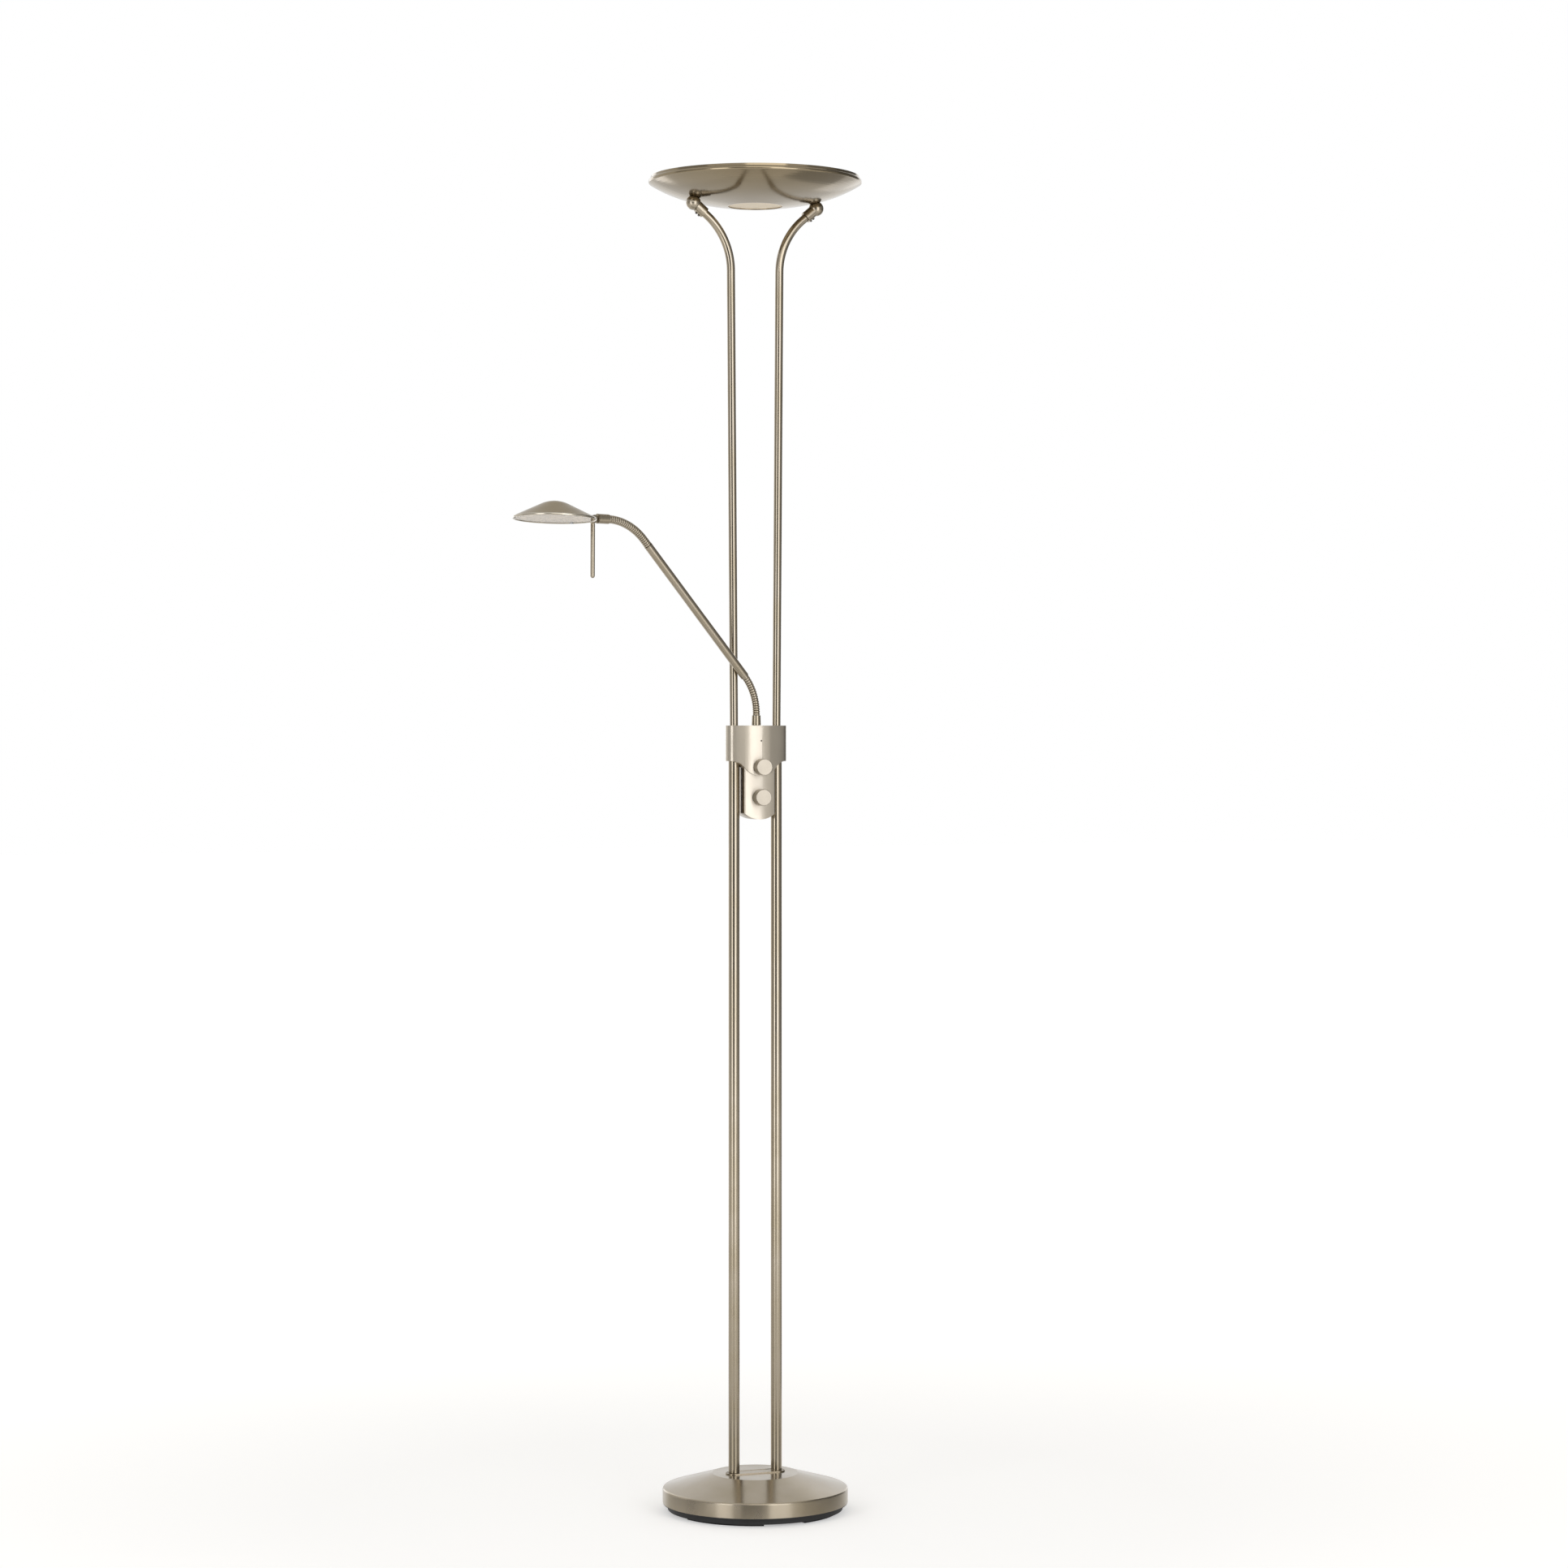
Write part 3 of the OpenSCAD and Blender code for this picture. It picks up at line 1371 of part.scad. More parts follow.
handle_rod();
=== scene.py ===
"""Looks of a torchiere floor lamp with a jointed reading arm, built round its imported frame."""
import json
import math

import bmesh
import bpy
from bpy.props import FloatProperty, FloatVectorProperty, PointerProperty
from mathutils import Matrix, Vector


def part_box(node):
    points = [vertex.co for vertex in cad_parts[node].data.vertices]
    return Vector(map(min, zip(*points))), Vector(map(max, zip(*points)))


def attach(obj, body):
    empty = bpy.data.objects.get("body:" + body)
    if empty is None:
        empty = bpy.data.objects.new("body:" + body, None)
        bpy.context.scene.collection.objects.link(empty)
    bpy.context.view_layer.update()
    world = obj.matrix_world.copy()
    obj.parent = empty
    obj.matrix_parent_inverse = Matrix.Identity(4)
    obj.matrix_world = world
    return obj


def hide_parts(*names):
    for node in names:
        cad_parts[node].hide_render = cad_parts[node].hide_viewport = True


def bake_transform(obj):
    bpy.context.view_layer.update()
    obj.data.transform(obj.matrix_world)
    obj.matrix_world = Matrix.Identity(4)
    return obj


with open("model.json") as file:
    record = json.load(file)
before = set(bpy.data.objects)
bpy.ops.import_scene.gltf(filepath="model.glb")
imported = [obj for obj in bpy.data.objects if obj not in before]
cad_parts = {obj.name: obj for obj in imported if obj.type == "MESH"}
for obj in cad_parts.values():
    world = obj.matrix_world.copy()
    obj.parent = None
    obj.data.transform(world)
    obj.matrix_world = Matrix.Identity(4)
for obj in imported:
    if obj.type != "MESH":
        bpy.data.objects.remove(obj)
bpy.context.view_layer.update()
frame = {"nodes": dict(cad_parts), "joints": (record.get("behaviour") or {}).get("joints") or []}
NODES = frame["nodes"]

bl_info = {
    "name": "Torchiere floor lamp looks",
    "version": (1, 0, 0),
    "blender": (4, 5, 0),
    "location": "View3D > Sidebar > Lamp",
    "description": "Finishes, small fittings and a soft studio for a torchiere floor lamp",
    "category": "Object",
}

MM = 0.001
UP = Vector((0, 0, 1))

# Nearly all values of a noise texture lie between these.
NOISE_LOW, NOISE_HIGH = 0.3, 0.7

# Tall area lights: name, degrees to the right of the camera, width, height, middle above the floor, and share
# of the softbox level. Lengths in these tables are in metres.
SOFTBOXES = (("softbox_left", -38, 1.0, 2.3, 1.15, 1.0),
             ("softbox_right", 31, 1.5, 2.3, 1.15, 1.0),
             ("softbox_right_back", 158, 1.0, 3.0, 1.2, 0.2),
             ("softbox_left_back", -150, 1.0, 3.0, 1.2, 0.5))
SOFTBOX_DISTANCE = 3.0

# Glowing cards that only gloss sees, painted reflections that light and shade nothing: name, first and last
# degrees to the right of the camera, brightness, distance of the lower and of the upper edge, and height of
# each.
# The floor cards lie just above the floor.
ON_FLOOR = 3 * MM
CARDS = (("card_camera_side", -25, 9, 0.14, 6.5, 6.5, -0.4, 2.6),
         ("card_overhead", -10, 34, 2.6, 3.2, 3.2, 2.1, 4.4),
         ("card_left", -95, -54, 0.5, 6.5, 6.5, -1.0, 4.5),
         ("card_right", 60, 100, 0.42, 6.5, 6.5, -1.0, 9.0),
         ("floor_card_middle", -12, 12, 0.25, 0.17, 0.75, ON_FLOOR, ON_FLOOR),
         ("floor_card_left", -44, -24, 1.5, 0.17, 0.75, ON_FLOOR, ON_FLOOR),
         ("floor_card_right", 15, 44, 1.4, 0.17, 0.75, ON_FLOOR, ON_FLOOR),
         ("floor_card_far_right", 58, 100, 0.5, 0.17, 0.75, ON_FLOOR, ON_FLOOR),
         ("floor_card_far_left", -100, -54, 0.5, 0.17, 0.75, ON_FLOOR, ON_FLOOR),
         ("floor_card_right_back", 95, 160, 0.5, 1.0, 6.4, ON_FLOOR, ON_FLOOR),
         ("floor_card_back", 160, 200, 0.9, 1.0, 6.4, ON_FLOOR, ON_FLOOR),
         ("floor_card_left_back", 200, 260, 1.0, 1.0, 6.4, ON_FLOOR, ON_FLOOR),
         ("card_right_back", 100, 148, 0.2, 6.5, 6.5, -1.0, 9.0))
FLOOR_REACH = 30.0

# Rings of light emitters on the two boards: radius in mm, and how many.
BOWL_EMITTER_RINGS = ((46, 14), (70, 22), (94, 30), (118, 38))
HEAD_EMITTER_RINGS = ((0, 1), (12, 6))

# One rib of a flexible neck: share of its pitch, and depth below its top in mm. A seventh of the pitch is the
# groove's floor, which takes the painted groove shade.
RIB = ((0.0, 0.72), (0.07, 0.70), (0.13, 0.34), (0.22, 0.10), (0.36, 0.01), (0.5, 0.0),
       (0.64, 0.01), (0.78, 0.10), (0.87, 0.34), (0.93, 0.70))

# How far a neck reaches below the start of its bend and past its end, and the share of a link, to each side of
# a pivot, at which the neck finds two points that it does not use.
LOWER_NECK_FOOT = 2.6 * MM
UPPER_NECK_FOOT = 9.5 * MM
NECK_TAIL = 1.0 * MM
BLEND_SHARE = 0.35


def linear(code):
    """Turns an sRGB hex colour such as 9A8E7C into Blender's linear colour."""
    shares = [int(code[i:i + 2], 16) / 255 for i in (0, 2, 4)]
    return tuple(c / 12.92 if c <= 0.04045 else ((c + 0.055) / 1.055) ** 2.4 for c in shares)


def colour(label, text, code):
    """A colour property, from an sRGB hex code."""
    return FloatVectorProperty(name=label, description=text, subtype="COLOR", size=3, min=0, max=1,
                               default=linear(code))


def metres(label, text, default, low, high):
    """A length property, in metres."""
    return FloatProperty(name=label, description=text, default=default, min=low, max=high, unit="LENGTH",
                         precision=6)


class LampFinish(bpy.types.PropertyGroup):
    """Colours of the lamp's finishes."""
    nickel: colour("Satin nickel", "Plated nickel on the tubes, base, arm and pivots", "9C9282")
    nickel_shade: colour("Nickel shade", "Nickel where the plating is a little darker", "958A76")
    # The bowl's darker, browner nickel is a shaded copy of the satin nickel: painted shade.
    bowl: colour("Bowl nickel", "Spun nickel on the bowl, a little browner", "8A7D66")
    # The head's darker, olive nickel is a shaded copy of the satin nickel: painted shade on the dome.
    dome: colour("Head nickel", "Spun nickel on the reading head, olive in its shade", "7F7052")
    chrome: colour("Chrome", "Polished chrome bead round the reading head", "B4AC9D")
    # The control box's nickel is a lighter copy of the satin nickel: painted light, for the brighter light it
    # catches.
    cast: colour("Cast nickel", "Brushed nickel on the control box", "B7AE9F")
    knob: colour("Knob nickel", "Turned faces and sides of the dimmer knobs", "A69D8E")
    zinc: colour("Zinc steel", "Screws, nuts, pins and brackets", "A9ABAC")
    pan: colour("Pan plastic", "Black moulded pan under the base", "0C0B0A")
    rubber: colour("Rubber", "Feet and cord grommet", "141414")
    glass: colour("Frosted glass", "Round glass in the bowl's underside", "F3DFBC")
    opal: colour("Opal plastic", "Round diffuser in the bowl's top", "F1EDE3")
    lens: colour("Lens", "Clear plastic under the reading head", "E2D6C3")
    phosphor: colour("Phosphor", "Yellow domes of the light emitters", "E4B545")


class LampSizes(bpy.types.PropertyGroup):
    """Sizes of the surface marks and of the small pieces."""
    grain: metres("Grain spacing", "Spacing of the brushed grain lines", 0.9 * MM, 0.05 * MM, 5 * MM)
    grain_depth: metres("Grain depth", "Depth of the brushed grain lines", 0.012 * MM, 0, 0.2 * MM)
    smudge: metres("Smudge size", "Size of the faint cloudy marks on the plating", 45 * MM, 5 * MM, 200 * MM)
    cast_edge: metres("Cast edge", "Width of the softened edges of the control box", 0.5 * MM, 0, 1 * MM)
    bowl_emitter: metres("Bowl emitter radius", "Radius of the domes on the bowl's board", 1.1 * MM,
                         0.5 * MM, 2 * MM)
    head_emitter: metres("Head emitter radius", "Radius of the domes on the head's board", 2.0 * MM,
                         0.5 * MM, 3 * MM)
    emitter_rise: metres("Emitter dome height", "Height of the phosphor domes", 0.7 * MM, 0.1 * MM, 1.5 * MM)
    lower_neck: metres("Lower neck radius", "Outer radius of the lower flexible neck", 4.9 * MM, 4 * MM, 5 * MM)
    lower_pitch: metres("Lower neck pitch", "Spacing of the lower neck's ribs", 3.3 * MM, 2 * MM, 5 * MM)
    upper_neck: metres("Upper neck radius", "Outer radius of the upper flexible neck", 5.5 * MM, 4 * MM, 6 * MM)
    upper_pitch: metres("Upper neck pitch", "Spacing of the upper neck's ribs", 3.1 * MM, 2 * MM, 5 * MM)


class LampStudio(bpy.types.PropertyGroup):
    """Camera, floor and light."""
    distance: metres("Camera distance", "From the lamp's axis", 5.42825, 3, 12)
    height: metres("Camera height", "Above the floor", 1.04579, 0.2, 3)
    turn: FloatProperty(name="Camera turn", description="Round the lamp, from its front towards its left",
                        default=math.radians(21), subtype="ANGLE")
    aside: FloatProperty(name="Aim aside", description="Turn of the view to the right of the lamp's axis",
                         default=math.radians(0.41013), subtype="ANGLE")
    down: FloatProperty(name="Aim down", description="Tilt of the view below the horizon",
                        default=math.radians(0.13639), subtype="ANGLE")
    focal: FloatProperty(name="Focal length", description="In millimetres, on a 36 mm sensor",
                         default=92.371, min=35, max=200)
    shift: FloatProperty(name="Lens shift", description="Downwards, as a share of the frame", default=0.025,
                         min=0, max=0.2)
    ambient: FloatProperty(name="Ambient light", description="Strength of the surroundings as a light",
                           default=0.5, min=0, max=1)
    softbox: FloatProperty(name="Softbox level", description="Brightness of the tall softboxes",
                           default=2.4, min=0, max=6)
    softbox_colour: colour("Softbox colour", "Slightly cool white of the softboxes", "F1F5FF")
    floor: colour("Floor", "Plain pale floor", "EEEBE5")
    floor_near: FloatProperty(name="Floor whitening near", description="White added to the floor by the lamp",
                              default=0.42, min=0, max=1)
    floor_far: FloatProperty(name="Floor whitening far", description="White added to the floor far away",
                             default=0.62, min=0, max=1)
    fade_start: metres("Whitening starts", "Distance up to which the near whitening holds", 0.6, 0, 3)
    fade_end: metres("Whitening ends", "Distance from which the far whitening holds", 2.4, 0, 10)


# ---------- nodes and materials ----------
def add(tree, kind, *inputs, output=0, **settings):
    """Adds a node with its settings and gives one of its outputs. The inputs are dictionaries from sockets to
    constants, or to other nodes' outputs, which are linked."""
    made = tree.nodes.new(kind)
    for name, value in settings.items():
        setattr(made, name, value)
    for group in inputs:
        for name, given in group.items():
            if isinstance(given, bpy.types.NodeSocket):
                tree.links.new(given, made.inputs[name])
            else:
                made.inputs[name].default_value = given
    return made.outputs[output] if made.outputs else None


def rgba(shade):
    """A colour as the sockets take it, with its opacity."""
    return (*shade, 1.0)


def bare_tree(owner):
    """The emptied node tree of a material or of the surroundings."""
    owner.use_nodes = True
    owner.node_tree.nodes.clear()
    return owner.node_tree


def surface(name, constants, links):
    """A new material with one Principled shader. links is a function that makes the outputs for its sockets."""
    made = bpy.data.materials.new(name)
    tree = bare_tree(made)
    shader = add(tree, "ShaderNodeBsdfPrincipled", constants, links(tree))
    add(tree, "ShaderNodeOutputMaterial", {"Surface": shader})
    return made


def clouded_colour(tree, cloud, light, dark):
    """A colour that drifts from one shade to another over the cloudy marks."""
    share = add(tree, "ShaderNodeMapRange", {"Value": cloud, "From Min": NOISE_LOW, "From Max": NOISE_HIGH})
    # Sockets 6 and 7 are the two colours, and output 2 is the mixed one.
    return add(tree, "ShaderNodeMix", {0: share, 6: rgba(light), 7: rgba(dark)}, output=2, data_type="RGBA")


def grain_of(tree, kind, axis, centre):
    """(distance across the grain, direction of the grain) at each point.
    'ring' grain runs round the axis, 'disc' grain in circles on a sheet spun about it, 'line' grain along it."""
    point = add(tree, "ShaderNodeTexCoord", output="Object")
    arm = add(tree, "ShaderNodeVectorMath", {0: point, 1: centre}, operation="SUBTRACT")
    round_axis = add(tree, "ShaderNodeVectorMath", {0: axis, 1: arm}, operation="CROSS_PRODUCT")
    if kind == "disc":
        away = add(tree, "ShaderNodeVectorMath", {0: round_axis}, output="Value", operation="LENGTH")
        return away, round_axis
    if kind == "ring":
        across = axis
    else:
        side = Vector(axis).orthogonal().normalized()
        across = side + Vector(axis).cross(side)
    distance = add(tree, "ShaderNodeVectorMath", {0: arm, 1: across}, output="Value", operation="DOT_PRODUCT")
    if kind == "ring":
        return distance, round_axis
    return distance, add(tree, "ShaderNodeVectorMath", {0: axis}, operation="ADD")


def nickel(name, kind, rough, axis=(0, 0, 1), centre=(0, 0, 0), strength=0.6, tone=None, stretch=0.6,
           above=None):
    """Satin nickel: nickel plate over brushed or spun steel. It shows soft, stretched highlights across its
    grain. above is (height, roughness, stretch) where a part is finished differently from a height up."""
    finish, sizes = bpy.context.scene.lamp_finish, bpy.context.scene.lamp_sizes
    light = finish.nickel if tone is None else tone
    dark = finish.nickel_shade if tone is None else [0.93 * c for c in tone]

    def links(tree):
        point = add(tree, "ShaderNodeTexCoord", output="Object")
        across, along = grain_of(tree, kind, axis, centre)
        cloud = add(tree, "ShaderNodeTexNoise", {"Vector": point, "Scale": 1 / sizes.smudge, "Detail": 2.0})
        # Grain of 80 to 120 grit is about 0.2 mm apart; it is drawn coarser so that it shows.
        lines = add(tree, "ShaderNodeTexNoise", {"W": across, "Scale": 1 / sizes.grain, "Detail": 4.0,
                    "Roughness": 0.7}, noise_dimensions="1D")
        # Finer marks lie between the lines, and are drawn at 0.35 mm so that they show.
        fine = add(tree, "ShaderNodeTexNoise", {"Vector": point, "Scale": 1 / (0.35 * MM), "Detail": 1.0})
        # 0.6 of the lines and the whole cloud add up to between about 0.5 and 1.1.
        worn = add(tree, "ShaderNodeMath", {0: lines, 1: 0.6, 2: cloud}, operation="MULTIPLY_ADD")
        roughness = add(tree, "ShaderNodeMapRange", {"Value": worn, "From Min": 0.5, "From Max": 1.1,
                        "To Min": rough - 0.04, "To Max": rough + 0.05})
        relief = add(tree, "ShaderNodeMath", {0: fine, 1: 0.25, 2: lines}, operation="MULTIPLY_ADD")
        normal = add(tree, "ShaderNodeBump", {"Height": relief, "Strength": strength,
                     "Distance": sizes.grain_depth})
        world_along = add(tree, "ShaderNodeVectorTransform", {"Vector": along}, vector_type="VECTOR",
                          convert_from="OBJECT", convert_to="WORLD")
        flat = add(tree, "ShaderNodeNewGeometry", output="Normal")
        tangent = add(tree, "ShaderNodeVectorMath", {0: flat, 1: world_along}, operation="CROSS_PRODUCT")
        made = {"Base Color": clouded_colour(tree, cloud, light, dark), "Roughness": roughness,
                "Normal": normal, "Tangent": tangent}
        if above:
            height, upper_rough, upper_stretch = above
            rise = add(tree, "ShaderNodeVectorMath", {0: point, 1: UP}, output="Value", operation="DOT_PRODUCT")
            step = {"Value": rise, "From Min": height, "From Max": height + 2 * MM}
            change = add(tree, "ShaderNodeMapRange", step, {"To Min": 0, "To Max": upper_rough - rough})
            made["Roughness"] = add(tree, "ShaderNodeMath", {0: roughness, 1: change}, operation="ADD")
            made["Anisotropic"] = add(tree, "ShaderNodeMapRange", step, {"To Min": stretch,
                                      "To Max": upper_stretch})
        return made

    return surface(name, {"Metallic": 1.0, "Anisotropic": stretch}, links)


def mottled(name, base, constants, size, rough, second=0.8, bump=0.0, depth=0.02 * MM):
    """A plain material with cloudy colour and roughness, and a fine surface of the given mark size."""
    dark = [second * c for c in base]

    def links(tree):
        point = add(tree, "ShaderNodeTexCoord", output="Object")
        # The clouds are 14 times as large as the marks.
        cloud = add(tree, "ShaderNodeTexNoise", {"Vector": point, "Scale": 1 / (14 * size), "Detail": 2.0})
        fine = add(tree, "ShaderNodeTexNoise", {"Vector": point, "Scale": 1 / size, "Detail": 3.0,
                   "Roughness": 0.6})
        made = {"Base Color": clouded_colour(tree, cloud, base, dark),
                "Roughness": add(tree, "ShaderNodeMapRange", {"Value": fine, "From Min": NOISE_LOW,
                                 "From Max": NOISE_HIGH, "To Min": rough - 0.06, "To Max": rough + 0.06})}
        if bump:
            made["Normal"] = add(tree, "ShaderNodeBump", {"Height": fine, "Strength": bump, "Distance": depth})
        return made

    return surface(name, constants, links)


def zinc_steel():
    """Steel with a bright zinc plate, turned or pressed: cool grey with a faint bloom."""
    name = "zinc-plated steel, turned"
    finish = bpy.context.scene.lamp_finish
    return bpy.data.materials.get(name) or mottled(name, finish.zinc, {"Metallic": 1.0}, 0.5 * MM, 0.36,
                                                   second=0.88, bump=0.2)


def phosphor():
    """Yellow phosphor in cast silicone: a deep, slightly glossy yellow."""
    name = "cast phosphor silicone"
    finish = bpy.context.scene.lamp_finish
    silicone = {"IOR": 1.41, "Subsurface Weight": 0.3, "Subsurface Scale": 0.001}
    return bpy.data.materials.get(name) or mottled(name, finish.phosphor, silicone, 0.3 * MM, 0.3, second=0.9)


def circuit_board(name, mask, track):
    """Board with a printed solder mask: glossy, with slightly paler copper tracks under it."""
    def links(tree):
        point = add(tree, "ShaderNodeTexCoord", output="Object")
        # Tracks about 0.8 mm wide, 1.25 mm apart one way and 2.5 mm the other.
        tracks = add(tree, "ShaderNodeTexBrick", {"Vector": point, "Scale": 1 / (5 * MM), "Mortar Size": 0.08,
                     "Color1": rgba(linear(mask)), "Color2": rgba(linear(mask)), "Mortar": rgba(linear(track))})
        marks = add(tree, "ShaderNodeTexNoise", {"Vector": point, "Scale": 1 / (0.8 * MM), "Detail": 2.0})
        return {"Base Color": tracks, "Roughness": add(tree, "ShaderNodeMapRange", {"Value": marks,
                "From Min": NOISE_LOW, "From Max": NOISE_HIGH, "To Min": 0.25, "To Max": 0.4})}
    return surface(name, {"IOR": 1.5}, links)


def finish_nodes(made, *names):
    """Gives a material to CAD nodes, in all their slots."""
    for name in names:
        slots = NODES[name].data.materials
        for i in range(len(slots)):
            slots[i] = made


# ---------- meshes and places ----------
def middle(name):
    """Middle of a CAD node's box."""
    low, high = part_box(name)
    return (low + high) / 2


def joint(name):
    """One joint of the frame, by its name."""
    return next(j for j in frame["joints"] if j["name"] == name)


def frame_at(origin, ahead, up):
    """A matrix at origin whose X is ahead and whose Z is up."""
    z = Vector(up).normalized()
    x = (Vector(ahead) - Vector(ahead).dot(z) * z).normalized()
    return Matrix.Translation(origin) @ Matrix((x, z.cross(x), z)).transposed().to_4x4()


def head_frame():
    """Frame of the reading head: origin at the lens's middle, X away from the arm, Z out of the dome's top."""
    centre = middle("head_lens")
    ahead = centre - Vector(joint("head_tilt")["pos_m"])
    guess = Vector(joint("head_tilt")["axis"]).cross(ahead).normalized()
    if guess.z < 0:
        guess = -guess
    up = Vector((0, 0, 0))
    for face in NODES["head_lens"].data.polygons:
        if face.normal.dot(guess) > 0.9:
            up += face.area * face.normal
    return frame_at(centre, ahead, up)


def new_object(name, mesh, materials, smooth=False):
    """Makes an object of a bmesh and frees the bmesh."""
    data = bpy.data.meshes.new(name)
    mesh.to_mesh(data)
    mesh.free()
    for made in materials:
        data.materials.append(made)
    for face in data.polygons:
        face.use_smooth = smooth
    obj = bpy.data.objects.new(name, data)
    bpy.context.scene.collection.objects.link(obj)
    return obj


def piece(name, mesh, body, made):
    """Makes a smooth piece of a closed bmesh, with its material and its body."""
    bmesh.ops.recalc_face_normals(mesh, faces=mesh.faces)
    obj = new_object(name, mesh, [made], smooth=True)
    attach(obj, body)
    return obj


def circle(steps):
    """Cosine and sine of evenly spaced angles of a full turn."""
    return [(math.cos(a), math.sin(a)) for a in (2 * math.pi * i / steps for i in range(steps))]


def turned(mesh, profile, place_at, steps=64):
    """Adds a solid of revolution: profile is a closed loop of (radius, height), set by a matrix."""
    rings = []
    for radius, height in profile:
        corners = [(0, 0)] if radius < 1e-7 else circle(steps)
        rings.append([mesh.verts.new(place_at @ Vector((radius * x, radius * y, height))) for x, y in corners])
    for first, second in zip(rings, rings[1:] + rings[:1]):
        for i in range(steps):
            j = (i + 1) % steps
            corners = [ring[k % len(ring)] for ring, k in ((first, i), (first, j), (second, j), (second, i))]
            corners = list(dict.fromkeys(corners))
            if len(corners) > 2:
                mesh.faces.new(corners)


def dome(mesh, place_at, radius, height, steps=16):
    """Adds a low dome whose flat underside is sunk a little into its board."""
    rows, sunk = 4, -0.05 * MM
    angles = [0.5 * math.pi * i / rows for i in range(rows)]
    arc = [(radius * math.cos(a), height * math.sin(a)) for a in angles]
    turned(mesh, [(0, sunk), (radius, sunk), *arc, (0, height)], place_at, steps)


def finished(complete=True):
    """Ends an operator, with an error if what it makes isn't there."""
    if not complete:
        raise RuntimeError("a piece could not be made")
    return {"FINISHED"}


# ---------- stage ----------
def view_direction(studio, degrees=0.0):
    """Level direction from the lamp, at an angle to the right of the camera's own."""
    a = studio.turn - math.radians(degrees)
    return Vector((-math.sin(a), -math.cos(a), 0))


def card(name, studio, start, end, level, near, far, low, high):
    """A glowing card that only gloss sees, a painted reflection that lights and shades nothing, between two
    angles from the camera's direction. Its lower edge is at the near distance and the low height, and its upper
    edge at the far distance and the high one."""
    mesh = bmesh.new()
    steps = 8
    rows = []
    for i in range(steps + 1):
        direction = view_direction(studio, start + (end - start) * i / steps)
        rows.append([mesh.verts.new((*(direction * reach).xy, z)) for reach, z in ((near, low), (far, high))])
    for first, second in zip(rows, rows[1:]):
        mesh.faces.new((first[0], second[0], second[1], first[1]))
    made = bpy.data.materials.new(name)
    tree = bare_tree(made)
    # The glow is a painted reflection, seen only by gloss.
    glow = add(tree, "ShaderNodeEmission", {"Color": (level, level, level, 1), "Strength": 1.0})
    add(tree, "ShaderNodeOutputMaterial", {"Surface": glow})
    obj = new_object(name, mesh, [made])
    obj.visible_camera = False
    obj.visible_diffuse = False
    obj.visible_shadow = False
    obj.visible_transmission = False
    obj.visible_volume_scatter = False


def softbox(name, studio, degrees, width, height, middle_z, share):
    """A tall area light that gloss sees as a bright strip."""
    data = bpy.data.lights.new(name, "AREA")
    data.shape = "RECTANGLE"
    data.size = width
    data.size_y = height
    data.color = studio.softbox_colour
    data.energy = share * studio.softbox * math.pi * width * height
    obj = bpy.data.objects.new(name, data)
    bpy.context.scene.collection.objects.link(obj)
    obj.location = view_direction(studio, degrees) * SOFTBOX_DISTANCE + UP * middle_z
    obj.rotation_mode = "QUATERNION"
    obj.rotation_quaternion = (UP * middle_z - obj.location).to_track_quat("-Z", "Y")
    obj.visible_camera = False


def backdrop_rays(tree):
    """1 for rays from the eye, from gloss and through glass, and 0 for light."""
    rays = add(tree, "ShaderNodeLightPath").node.outputs
    first = add(tree, "ShaderNodeMath", {0: rays["Is Camera Ray"], 1: rays["Is Glossy Ray"]},
                operation="MAXIMUM")
    return add(tree, "ShaderNodeMath", {0: first, 1: rays["Is Transmission Ray"]}, operation="MAXIMUM")


